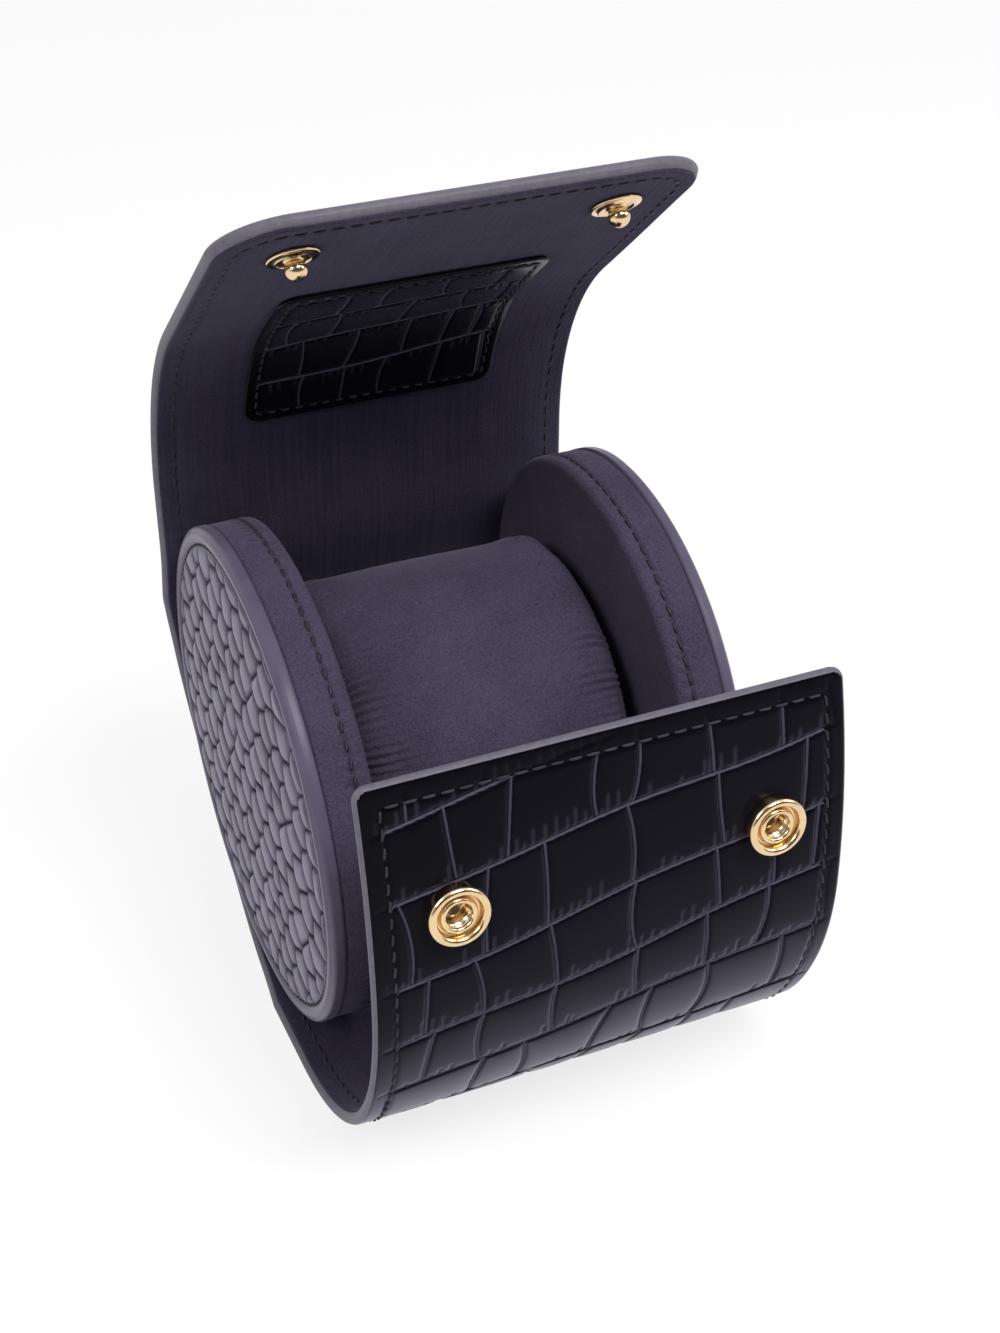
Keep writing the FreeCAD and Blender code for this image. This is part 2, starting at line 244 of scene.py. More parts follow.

# Lengths of wrap, one over each fold: the bodies on both sides, where the bend starts and ends,
# the outline, and the panels of the CAD that it stands for.
Strip = namedtuple("Strip", "name near far bend_ends outline panels")
STRIPS = (
    Strip("lip", "front", "lip", (LIP_FOLD + 6.0, LIP_FOLD - 6.0),
          Outline(LIP_END, FRONT_CUT, wrap_half, (LIP_END,), LIP_CORNER), ("lip", "front")),
    Strip("front", "roll", "front", (10.0, -10.0),
          Outline(FRONT_CUT, BASE_CUT, wrap_half, (), 0.0), ("front", "base")),
    Strip("flap", "roll", "flap", (FLAP_FOLD - 9.0, FLAP_FOLD + 9.0),
          Outline(BASE_CUT, FLAP_CUT, wrap_half, (), 0.0), ("base", "flap")),
    Strip("tip", "flap", "tip", (TIP_FOLD - 2.0, TIP_FOLD + 10.0),
          Outline(FLAP_CUT, TIP_END, wrap_half, (TIP_END,), TIP_CORNER), ("flap", "tip")),
)


def drawn_in(outline, inset):
    """The same outline, smaller by an inset at its sides and its free ends."""
    first = outline.first + inset * (outline.first in outline.ends)
    last = outline.last - inset * (outline.last in outline.ends)
    ends = tuple(now for was, now in zip(outline, (first, last)) if was in outline.ends)

    def half_at(reach):
        return outline.half_at(reach) - inset

    return Outline(first, last, half_at, ends, max(outline.corner - inset, 0.0))


def oval(angle, inset):
    """Offset oval: the centre of the arc that faces this way, plus its radius less the inset."""
    quarter = np.floor((np.degrees(angle) - OVAL_TILT + 45) / 90).astype(int) % 4
    middle = np.radians(OVAL_TILT + 90 * quarter)
    tip = quarter % 2 == 0
    shift = np.where(tip, OVAL_SHIFT, -OVAL_SHIFT)
    reach = np.where(tip, OVAL_TIP, OVAL_SIDE) - inset
    return shift * np.cos(middle) + reach * np.cos(angle), shift * np.sin(middle) + reach * np.sin(angle)


def ring_quads(rows, columns):
    """Quads of a tube of rings; the last column joins the first."""
    index = np.arange(rows * columns).reshape(rows, columns)
    after = np.roll(index, -1, 1)
    return np.stack([index[:-1], after[:-1], after[1:], index[1:]], -1).reshape(-1, 4)


def end_caps(rows, columns):
    """The two faces that close a tube of rings."""
    return [range(columns - 1, -1, -1), range((rows - 1) * columns, rows * columns)]


def add_piece(name, points, quads, finishes, caps=(), slots=None, values=None, uv=None):
    """Put points in millimetres about the roll's middle into a closed smooth mesh that faces outwards."""
    mesh = bpy.data.meshes.new(name)
    points = points.reshape(-1, 3) * MM + ROLL_MIDDLE
    mesh.from_pydata(points.tolist(), [], quads.tolist() + [list(cap) for cap in caps])
    smooth = np.ones(len(mesh.polygons), bool)
    smooth[len(quads):] = False
    mesh.polygons.foreach_set("use_smooth", smooth)
    if caps:
        corner_edges = np.empty(len(mesh.loops), int)
        mesh.loops.foreach_get("edge_index", corner_edges)
        sharp = np.zeros(len(mesh.edges), bool)
        sharp[corner_edges[quads.size:]] = True
        mesh.attributes.new("sharp_edge", "BOOLEAN", "EDGE").data.foreach_set("value", sharp)
    for finish in finishes:
        mesh.materials.append(finish)
    if slots is not None:
        every = np.concatenate([slots, np.full(len(caps), slots.max())])
        mesh.polygons.foreach_set("material_index", every)
    for key, value in (values or {}).items():
        data = mesh.attributes.new(key, "FLOAT", "POINT").data
        data.foreach_set("value", value.astype(np.float32).ravel())
    if uv is not None:
        corner = np.empty(len(mesh.loops), int)
        mesh.loops.foreach_get("vertex_index", corner)
        layer = mesh.uv_layers.new(name="cloth")
        layer.data.foreach_set("uv", uv.reshape(-1, 2)[corner].astype(np.float32).ravel())
    face_outwards(mesh)
    mesh.update()
    piece = bpy.data.objects.new(name, mesh)
    bpy.context.scene.collection.objects.link(piece)
    return piece


def add_tube(name, points, finish, values=None):
    """A closed piece from rings of points, with a face on both ends."""
    rows, columns = points.shape[:2]
    quads, caps = ring_quads(rows, columns), end_caps(rows, columns)
    return add_piece(name, points, quads, [finish], caps, values=values)


def face_outwards(mesh):
    """Turn the faces when the volume, the sum of the triangles' triple products, is negative."""
    mesh.calc_loop_triangles()
    triangles = np.empty(len(mesh.loop_triangles) * 3, int)
    mesh.loop_triangles.foreach_get("vertices", triangles)
    places = np.empty(len(mesh.vertices) * 3)
    mesh.vertices.foreach_get("co", places)
    a, b, c = np.moveaxis(places.reshape(-1, 3)[triangles.reshape(-1, 3)], 1, 0)
    if (np.cross(a, b) * c).sum() < 0:
        mesh.flip_normals()


def ride_on(piece, body, nodes=()):
    """Parent a finished piece to the empty of the body it moves with, and hide the nodes it stands for."""
    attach(piece, body)
    dress(nodes)


def dress(nodes=()):
    """Hide the nodes that a piece stands for."""
    if nodes:
        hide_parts(*nodes)


def blend_over(piece, strip):
    """Bake a piece of the wrap's transform into its mesh. The ends of its bend are found on the wrap's line
    but not used.
    """
    middle = np.full(2, WRAP_DEPTH / 2)
    start, end = wrap_point(np.array(strip.bend_ends), np.zeros(2), middle) * MM + ROLL_MIDDLE
    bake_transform(piece)


def refinish(node, finish):
    """Give a CAD node that stays in view or inside a finish of its own."""
    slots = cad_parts[node].data.materials
    slots.clear()
    slots.append(finish)


class Value:
    """A shader socket; arithmetic on it adds Math nodes."""

    def __init__(self, finish, socket):
        self.finish, self.socket = finish, socket

    def math(self, operation, first, second):
        return self.finish.node("ShaderNodeMath", {0: first, 1: second}, operation=operation)

    def most(self, other):
        return self.math("MAXIMUM", self, other)

    def least(self, other):
        return self.math("MINIMUM", self, other)

    def __add__(self, other):
        return self.math("ADD", self, other)

    def __sub__(self, other):
        return self.math("SUBTRACT", self, other)

    def __rsub__(self, other):
        return self.math("SUBTRACT", other, self)

    def __mul__(self, other):
        return self.math("MULTIPLY", self, other)

    __radd__ = __add__
    __rmul__ = __mul__


class Finish:
    """A material or world and the nodes that are added to it."""

    def __init__(self, owner):
        self.owner = owner
        owner.use_nodes = True
        self.tree = owner.node_tree
        self.tree.nodes.clear()

    def node(self, kind, sockets=None, output=0, **settings):
        """Add one node: settings first, then values or links of its sockets; gives back one output."""
        made = self.tree.nodes.new(kind)
        for key, value in settings.items():
            setattr(made, key, value)
        for key, value in (sockets or {}).items():
            if isinstance(value, Value):
                self.tree.links.new(value.socket, made.inputs[key])
            else:
                made.inputs[key].default_value = value
        return Value(self, made.outputs[output])

    def coords(self, kind="Object"):
        return self.node("ShaderNodeTexCoord", output=kind)

    def attribute(self, name):
        return self.node("ShaderNodeAttribute", output="Fac", attribute_name=name)

    def noise(self, vector, scale, detail=3.0, rough=0.55):
        return self.node("ShaderNodeTexNoise", {
            "Vector": vector, "Scale": scale, "Detail": detail, "Roughness": rough})

    def streaks(self, vector, scale, detail):
        """Noise drawn out by a scale of its own along each axis."""
        return self.noise(self.node("ShaderNodeMapping", {"Vector": vector, "Scale": scale}), 1.0, detail)

    def mix(self, share, first, second):
        return self.node("ShaderNodeMix", {0: share, 6: first, 7: second}, output=2, data_type="RGBA")

    def bump(self, height, strength, distance):
        return self.node("ShaderNodeBump", {"Height": height, "Strength": strength, "Distance": distance})

    def either(self, share, first, second):
        return self.node("ShaderNodeMixShader", {0: share, 1: first, 2: second})

    def shade(self, **sockets):
        """Close the material with one Principled shader."""
        named = {key.replace("_", " "): value for key, value in sockets.items()}
        return self.close(self.node("ShaderNodeBsdfPrincipled", named))

    def close(self, shader, kind="ShaderNodeOutputMaterial"):
        out = self.tree.nodes.new(kind)
        self.tree.links.new(shader.socket, out.inputs["Surface"])
        return self.owner


def seen_share(finish, mirrored):
    """1 for rays from the camera, and the mirrored share for rays off gloss or through glass."""
    kinds = ("Is Camera Ray", "Is Glossy Ray", "Is Transmission Ray")
    seen, gloss, glass = (finish.node("ShaderNodeLightPath", output=kind) for kind in kinds)
    return (seen + (gloss + glass) * mirrored).least(1.0)


def once(maker):
    """Give back the material of this maker, made on its first use."""
    def found():
        name = "dressed_" + maker.__name__
        return bpy.data.materials.get(name) or maker(Finish(bpy.data.materials.new(name)))
    return found


def lit_edge(finish, name):
    """Share of painted highlight on a scale's lit edge: a narrow parabola just past the seam that its
    attribute measures.
    """
    away = (finish.attribute(name) - LIT_PLACE) * (1 / LIT_HALF)
    return (1.0 - away * away).most(0.0)


def worn_edges(finish):
    """Painted highlights on the lit edges of the scales along both kinds of seam, and the short ticks,
    painted lighter too.
    """
    seams = lit_edge(finish, "row_seam").most(lit_edge(finish, "side_seam") * 0.8)
    return seams.most(finish.attribute("tick") * 0.28)


def scale_finish(finish, deep, gap, painted_light_share, gloss, index, sheen):
    """Embossed leather: fine pores, tone by scale, and a clear finish that the gaps between scales lack."""
    place = finish.coords()
    groove, tone = finish.attribute("groove"), finish.attribute("tone")
    cloud = finish.noise(place, 160.0, 4.0)
    pores = finish.node("ShaderNodeTexVoronoi", {"Vector": place, "Scale": 2100.0}, feature="F1")
    scale = finish.mix(tone * 0.5 + cloud * 0.6 - 0.2, colour(deep), colour(deep, 2.0))
    return finish.shade(
        # The gap colour is painted light: a highlight on the lit scale edges of the wrap and the patch, and
        # shade in the gaps of the ends.
        Base_Color=finish.mix(painted_light_share * 0.95, scale, colour(gap)),
        Roughness=cloud * 0.2 + 0.5,
        Normal=finish.bump(pores * 0.5 + cloud * 0.3, 0.1, 0.00012),
        Specular_IOR_Level=0.0,
        Coat_Weight=1.0 - groove * 0.9 - cloud * 0.15,
        Coat_Roughness=gloss,
        Coat_IOR=index,
        Sheen_Weight=sheen,
        Sheen_Roughness=0.35,
        Sheen_Tint=(0.74, 0.72, 1.0, 1),
    )


# The wrap's and the patch's leather carry painted highlights on the lit edges of their scales.
@once
def embossed_leather(finish):
    painted_highlight = worn_edges(finish)
    return scale_finish(finish, "leather", "leather_worn", painted_highlight, gloss=0.2, index=1.11, sheen=0.42)


@once
def patch_leather(finish):
    painted_highlight = worn_edges(finish)
    return scale_finish(finish, "leather", "leather_worn", painted_highlight, gloss=0.18, index=1.22, sheen=0.1)


@once
def end_leather(finish):
    # Painted shade: the gaps between the scales and the sewn channel darken to the near-black leather colour.
    groove = finish.attribute("groove")
    return scale_finish(finish, "end_leather", "leather", groove * groove, gloss=0.3, index=1.25, sheen=0.15)


@once
def edge_paint(finish):
    """Brushed-on edge paint: fine mottling and a soft gloss."""
    mottle = finish.noise(finish.coords(), 900.0, 5.0)
    return finish.shade(
        Base_Color=finish.mix(mottle, colour("edge", 0.5), colour("edge")),
        Roughness=mottle * 0.2 + 0.35,
        Normal=finish.bump(mottle, 0.25, 0.0002),
        Specular_IOR_Level=0.15,
    )


def suede_finish(finish, name, vector, per_unit, lines=None):
    """Brushed suede: fine fibre, cloudy nap and, where given, faint lines.
    per_unit is the number of centimetres in one unit of the vector."""
    fibre = finish.noise(vector, 26.0 * per_unit, 2.0, 0.7)
    nap = finish.noise(vector, 0.9 * per_unit, 4.0)
    height, share = fibre + nap * 0.3, nap * 0.6 + fibre * 1.3 - 0.45
    if lines is not None:
        height, share = height + lines * 0.6, share + lines * 0.7 - 0.3
    return finish.shade(
        Base_Color=finish.mix(share, colour(name, 0.55), colour(name, 2.1)),
        Roughness=fibre * 0.15 + 0.8,
        Normal=finish.bump(height, 0.7, 0.0003),
        Specular_IOR_Level=0.05,
        Sheen_Weight=0.2,
        Sheen_Roughness=0.4,
        Sheen_Tint=(0.5, 0.47, 0.6, 1),
    )


@once
def lining_suede(finish):
    """Suede with faint lines along the cloth, on its UV map in centimetres."""
    cloth = finish.coords("UV")
    return suede_finish(finish, "lining", cloth, 1.0, finish.streaks(cloth, (14.0, 0.35, 1.0), 3.0))


@once
def drum_suede(finish):
    return suede_finish(finish, "suede", finish.coords(), 100.0)


@once
def sewing_thread(finish):
    """Waxed thread: tone by stitch and a fine twist."""
    twist = finish.noise(finish.coords(), 3500.0, 2.0)
    share = finish.attribute("tone") * 0.6 + twist * 0.4
    return finish.shade(
        Base_Color=finish.mix(share, colour("thread"), colour("thread", 3.0)),
        Roughness=twist * 0.2 + 0.45,
        Normal=finish.bump(twist, 0.4, 0.0001),
        Specular_IOR_Level=0.25,
    )


@once
def snap_gold(finish):
    """Polished plate: hair scratches and a little cloud in the gloss."""
    place = finish.coords()
    hair = finish.streaks(place, (900.0, 5200.0, 900.0), 2.0)
    cloud = finish.noise(place, 420.0, 3.0)
    return finish.shade(
        Base_Color=finish.mix(cloud, colour("gold", 0.8, 0.72, 0.6), colour("gold")),
        Metallic=1.0,
        Roughness=hair * 0.08 + cloud * 0.08 + 0.1,
        Normal=finish.bump(hair, 0.06, 0.0001),
    )


@once
def spring_wire(finish):
    """Drawn wire: fine streaks in grey steel."""
    streak = finish.streaks(finish.coords(), (4000.0, 900.0, 900.0), 2.0)
    return finish.shade(
        Base_Color=finish.mix(streak, (0.42, 0.38, 0.33, 1), (0.62, 0.58, 0.52, 1)),
        Metallic=1.0,
        Roughness=streak * 0.2 + 0.2,
    )


@once
def fibre_board(finish):
    """Grey-brown board: long fibres and specks."""
    place = finish.coords()
    fibre = finish.streaks(place, (300.0, 2400.0, 2400.0), 4.0)
    speck = finish.noise(place, 1800.0, 1.0)
    return finish.shade(
        Base_Color=finish.mix(fibre * 0.7 + speck * 0.3, (0.24, 0.2, 0.15, 1), (0.5, 0.43, 0.34, 1)),
        Roughness=speck * 0.1 + 0.85,
        Normal=finish.bump(fibre, 0.3, 0.0003),
    )


def chance(*keys):
    """A repeatable share from 0 to 1: the fraction of a large sine of the keys."""
    factors = (12.9898, 78.233, 37.719)
    mixed = sum(np.asarray(key, float) * factor for key, factor in zip(keys, factors))
    return np.mod(np.sin(mixed + 4.1) * 43758.5453, 1.0)


def picked(table, index):
    """One value from each row of a table."""
    return np.take_along_axis(table, index[:, None], 1)[:, 0]


def soft_least(parts, axis):
    """Smooth least of some distances: the cube root of the sum of their inverse cubes, inverted."""
    return (parts ** -3.0).sum(axis) ** (-1 / 3.0)


def bell(away, width):
    """1 in the middle, falling as exp of minus (away / width) squared."""
    return np.exp(-(away / width) ** 2)


class ScaleField:
    """Rows of scales: wavy row seams tilted across the sheet, bowed column seams that step at each row."""

    row_spread, column_spread, slant, bow = (0.82, 1.12), (0.62, 1.35), 0.12, 0.07
    long_wave, short_wave, short_share = 1.35, 0.52, 0.45

    def __init__(self, seed, low, high, across, row, column, tilt, wave, groove, given=()):
        draw = np.random.default_rng(seed)
        self.tilt, self.wave, self.groove, self.row = tilt, wave, groove, row
        edges, columns = [low], []
        given = dict(given)
        while edges[-1] < high:
            edges.append(edges[-1] + row * draw.uniform(*self.row_spread))
        self.edges = np.array(edges)
        for k in range(len(edges) + 1):
            seams = [-across - draw.uniform(0, column)]
            while seams[-1] < across:
                seams.append(seams[-1] + column * draw.uniform(*self.column_spread))
            columns.append(np.array(given.get(k, seams)))
        self.columns = columns
        self.phase = draw.uniform(0, 2 * math.pi, (len(edges), 2))
        self.slants = [draw.uniform(-self.slant, self.slant, len(c)) for c in columns]
        self.bows = [draw.uniform(-self.bow, self.bow, len(c)) for c in columns]

    def seam_places(self, x):
        """Row seams at x: edge, tilt and two sines of different length."""
        x = x[..., None]
        long_wave = np.sin(x / (self.row * self.long_wave) + self.phase[:, 0])
        short_wave = np.sin(x / (self.row * self.short_wave) + self.phase[:, 1])
        return self.edges - self.tilt * x + self.wave * (long_wave + self.short_share * short_wave)

    def sides(self, x, row, share):
        """Signed distance from the nearest column seam, which leans and bows, and the number of the scale."""
        side, scale = np.zeros(x.shape), np.zeros(x.shape)
        for k in np.unique(row):
            here = row == k
            up = share[here, None]
            lean = up * self.slants[k] * self.row + (up ** 2) * self.bows[k] * 4 * self.row
            away = x[here, None] - (self.columns[k] + lean)
            side[here] = picked(away, np.abs(away).argmin(1))
            scale[here] = (away > 0).sum(1)
        return side, scale

    def ticks(self, x, row, above):
        """Share of the short ticks: narrow bells of uneven place and length that stand on the far seam."""
        pitch = self.row * 0.125
        tick = np.floor(x / pitch)
        place = (tick + 0.5 + 0.55 * (chance(tick, row) - 0.5)) * pitch
        length = self.row * (0.06 + 0.2 * chance(tick, row, 3)) * (chance(tick, row, 7) > 0.3)
        return bell(x - place, self.groove * 0.75) * np.clip((length - above) / (self.row * 0.06), 0, 1)

    def relief(self, reach, x, depth):
        """Height in mm and the shares of each point: a pillow that falls to a narrow groove at the nearest
        seam, with short ticks standing on the far seam of each scale. A seam share is the signed distance s
        from the nearest seam as s + 3 s cubed: its change of sign between two seams is too steep to show."""
        shape = np.broadcast(reach, x).shape
        reach, x = (np.broadcast_to(value, shape).ravel() for value in (reach, x))
        seams = self.seam_places(x)
        row = np.clip((reach[:, None] > seams).sum(1), 1, len(self.edges) - 1)
        below, above = reach - picked(seams, row - 1), picked(seams, row) - reach
        side, scale = self.sides(x, row, below / np.maximum(below + above, 1e-6) - 0.5)
        across = np.where(below < above, below, -above)
        near = soft_least(np.stack([np.maximum(np.abs(part), 1e-4) for part in (below, above, side)]), 0)
        tick = self.ticks(x, row, above)
        groove = bell(near, self.groove)
        pillow = 1 - np.exp(-near / (self.row * 0.1))
        height = depth * (0.45 * pillow - 0.75 * groove - 0.45 * tick * (1 - groove))
        values = {
            "groove": np.maximum(groove, 0.6 * tick), "tone": chance(row, scale), "tick": tick,
            "row_seam": across + 3 * across ** 3, "side_seam": side + 3 * side ** 3,
        }
        return height.reshape(shape), {key: value.reshape(shape) for key, value in values.items()}


class PebbleField:
    """Round scales: cells about jittered places, found by the nearest place and the nearest border to it.
    Each scale leans towards its shade side, where the dark groove share, painted shade in the gap, is wider."""

    shade, jitter, around = np.array([-0.93, -0.36]), 0.25, 3

    def __init__(self, seed, reach, cell, stretch, groove):
        draw = np.random.default_rng(seed)
        self.cell, self.stretch, self.groove = cell, stretch, groove
        self.side = int(2 * reach / cell) + 2 * self.around
        lattice = self.square(range(self.side)).astype(float)
        lattice[:, ::2, 0] += 0.5
        shifts = draw.uniform(-self.jitter, self.jitter, lattice.shape)
        self.places = (lattice - self.side / 2 + shifts) * cell

    @staticmethod
    def square(steps):
        """Every pair of the steps, as a square lattice."""
        return np.stack(np.meshgrid(steps, steps, indexing="ij"), -1)

    def relief(self, along, across, depth):
        """Height in mm, groove share and tone: a pillow over each cell that falls steeply to its border. The
        groove share is painted shade, widest on the shade side.
        """
        spot = np.stack([np.ravel(along) / self.stretch, np.ravel(across)], -1)
        home = np.floor(spot / self.cell + self.side / 2).astype(int)
        home = np.clip(home, self.around, self.side - self.around - 1)
        index = home[:, None] + self.square(range(-self.around, self.around + 1)).reshape(-1, 2)
        near = self.places[index[..., 0], index[..., 1]]
        every = np.arange(len(spot))
        first = ((near - spot[:, None]) ** 2).sum(-1).argmin(1)
        own = near[every, first]
        gap = near - own[:, None]
        length = np.linalg.norm(gap, axis=-1)
        length[every, first] = FAR
        border = (((near + own[:, None]) / 2 - spot[:, None]) * gap).sum(-1) / length
        border[every, first] = FAR
        nearest = border.argmin(1)
        fall = gap[every, nearest] / length[every, nearest][:, None] @ self.shade
        edge = soft_least(np.maximum(np.sort(border, 1)[:, :3], 1e-3), 1)
        # Painted shade: the dark gap is wider on the side turned away from the light.
        groove = bell(edge, self.groove * (1 + 0.9 * np.maximum(fall, 0)))
        wall, crown = (np.exp(-edge / (self.cell * width)) for width in (0.08, 0.3))
        pillow = 1 - 0.75 * wall - 0.25 * crown - 0.06 * (spot - own) @ self.shade
        tone = chance(*np.moveaxis(index[every, first], -1, 0))
        return (value.reshape(np.shape(along)) for value in (depth * (pillow - 0.45), groove, tone))


# Given seams are those of the first rows under the lip, in millimetres from the middle of the front.
WRAP_SCALES = ScaleField(
    seed=11, low=-108.0, high=330.0, across=40.0, row=13.2, column=10.8, tilt=0.16, wave=0.75, groove=0.34,
    given=(
        (1, (-44, -31, -19, -7, 3, 14, 26, 37, 48)),
        (2, (-46, -25.2, -16.1, -3.0, 4.3, 15.6, 27.3, 35.2, 47)),
        (3, (-43, -32, -20.5, -11.0, 2.8, 16.8, 31.0, 44)),
        (4, (-44, -30, -21.4, -9.9, 2.3, 16.6, 25.8, 33, 46)),
        (5, (-42, -29.6, -21.7, -9.9, 3.6, 15.3, 25.2, 35.5, 47)),
    ))
PATCH_SCALES = ScaleField(
    seed=5, low=BASE_LENGTH - 4.0, high=BASE_LENGTH + 80, across=30.0, row=11.5, column=9.0, tilt=-0.08,
    wave=0.6, groove=0.32)
END_SCALES = PebbleField(seed=23, reach=50.0, cell=5.1, stretch=1.25, groove=0.32)


def edge_distance(outline, reach, x):
    """Distance inside the outline: to the side, to the free ends, or to the rounded corner between them."""
    corner = outline.corner
    side = outline.half_at(reach) - np.abs(x)
    end = np.full(np.broadcast(reach, x).shape, FAR)
    for place in outline.ends:
        end = np.minimum(end, np.abs(reach - place))
    rounded = corner - np.hypot(np.maximum(corner - side, 0), np.maximum(corner - end, 0))
    in_corner = (side < corner) & (end < corner)
    return np.where(in_corner, rounded, np.minimum(side, end))


def rows_along(outline, step):
    """Reaches from first to last, closer together at a free end."""
    first, last, half_at, ends, corner = outline
    low = first + END_STEPS if first in ends else np.array([first])
    high = last - END_STEPS[::-1] if last in ends else np.array([last])
    count = int((high[0] - low[-1]) / step)
    return np.concatenate([low, np.linspace(low[-1], high[0], count + 1)[1:-1], high])


def sheet_grid(outline, step):
    """Reach and place across of every grid point; the outline draws in at the rounded corners."""
    reach, corner = rows_along(outline, step), outline.corner
    half = outline.half_at(reach)
    for place in outline.ends:
        near = np.clip(corner - np.abs(reach - place), 0, corner)
        half = half - corner + np.sqrt(np.maximum(corner ** 2 - near ** 2, 0))
    even = np.linspace(-1, 1, max(8, int(2 * half.max() / step)))
    half = half[:, None]
    across = np.concatenate([-(half - SIDE_STEPS), (half - EVEN_FROM) * even, half - SIDE_STEPS[::-1]], 1)
    return reach[:, None], across


def soft_sheet(name, outline, step, depths, edge_round, front_out, relief, finishes):
    """Closed sheet on the wrap's line: front and back meet along a rounded edge; relief lies on the front.
    The back is coarser: it takes a few columns near both sides and every 24th between."""
    reach, across = sheet_grid(outline, step)
    inner, outer = depths
    middle, thick = (inner + outer) / 2, (outer - inner) / 2
    sign = 1 if front_out else -1
    columns = across.shape[1]
    back = across[:, ::-1][:, [4, 6, *range(10, columns - 8, 24), -7, -5]]
    place = np.concatenate([across, back], 1)
    rows, ring = place.shape
    inside = edge_distance(outline, reach, place)
    share = np.clip(1 - inside / edge_round, 0, 1)
    swell = thick * np.sqrt(np.maximum(1 - share ** 2, 0))
    height, values = relief(reach, across, inside[:, :columns])
    depth = np.where(np.arange(ring) < columns, sign, -sign) * swell + middle
    depth[:, :columns] += sign * height
    points = wrap_point(reach, place, depth)
    values = {key: np.pad(value, ((0, 0), (0, ring - columns))) for key, value in values.items()}
    uv = np.stack(np.broadcast_arrays(place / 10, reach / 10), -1)
    deepest = np.maximum(inside, np.roll(inside, -1, 1))
    on_face = (np.maximum(deepest[:-1], deepest[1:]) > EDGE_WIDTH) & (np.arange(ring) < columns - 1)
    slots = np.where(on_face, 0, len(finishes) - 1).ravel()
    return add_piece(name, points, ring_quads(rows, ring), finishes, end_caps(rows, ring), slots, values, uv)


def socket_pits(reach, across):
    """Share of the holes under the sockets: 1 inside the barrel, falling to 0 under the flange."""
    away = np.hypot(reach - SOCKET_PLACE, np.abs(across) - SNAP_HALF)
    return np.clip((PIT_REACH - away) / PIT_WALL, 0, 1)


def leather_relief(field, depth, margin, lit_way):
    """Scales that fade over the sewn margin, a shallow channel under the seam and a hole under each socket.
    lit_way says on which side of the row seams the painted highlight lies; past the seam no edge is lit."""
    channel_width, channel_depth, unlit = 0.42, 0.13, -9

    def relief(reach, across, inside):
        height, values = field.relief(reach, across, depth)
        fade = 0.3 + 0.7 * np.clip((inside - margin) / 0.8, 0, 1)
        fade = fade * np.clip((inside - EDGE_WIDTH) / 1.4, 0, 1)
        channel = bell(inside - margin, channel_width)
        for key in ("groove", "tone", "tick"):
            values[key] = values[key] * fade
        sewn_over = np.clip((margin + 0.25 - inside) / 0.5, 0, 1)
        for key, way in (("row_seam", lit_way), ("side_seam", 1)):
            values[key] = way * values[key] * (1 - sewn_over) + unlit * sewn_over
        values["groove"] = np.maximum(values["groove"], 0.25 * channel)
        return height * fade - channel_depth * channel - PIT_DEPTH * socket_pits(reach, across), values
    return relief


def suede_relief(reach, across, inside):
    """Slow waves of the glued lining and a soft channel under the seam."""
    wave_height, channel_depth, channel_place, channel_width = 0.05, 0.12, 2.6, 0.5
    wave = wave_height * np.sin(reach / 7.3 + 1.7 * np.sin(across / 11.0)) * np.sin(across / 9.1 + 0.6)
    return wave - channel_depth * bell(inside - channel_place, channel_width), {}


def run_of(points):
    """Distance along a line of points."""
    return np.concatenate([[0], np.cumsum(np.hypot(*np.diff(points, axis=0).T))])


def seam_line(outline, margin):
    """Flat line of a seam inside the outline: one open or closed line, or a line at each side."""
    first, last, half_at, ends, corner = outline
    inner = max(corner - margin, 0.6)
    steps = np.linspace(0, math.pi / 2, 12)
    low = first + margin + inner if first in ends else first
    high = last - margin - inner if last in ends else last
    reach = np.linspace(low, high, 200)
    half = half_at(reach) - margin
    left, right = np.stack([reach, -half], 1), np.stack([reach, half], 1)
    if not ends:
        return [left, right]
    width = half_at(np.array([ends[-1]]))[0] - margin - inner

    def turn(end_reach, sign):
        out = end_reach + sign * inner * np.sin(steps)
        return (np.stack([out, -width - inner * np.cos(steps)], 1),
                np.stack([out[::-1], width + inner * np.cos(steps[::-1])], 1))

    if len(ends) == 2:
        top, bottom = turn(high, 1), turn(low, -1)
        line = [left, *top, right[::-1], bottom[1][::-1], bottom[0][::-1], left[:1]]
    elif last in ends:
        line = [left, *turn(high, 1), right[::-1]]
    else:
        line = [left[::-1], *turn(low, -1), right]
    return [np.concatenate(line)]


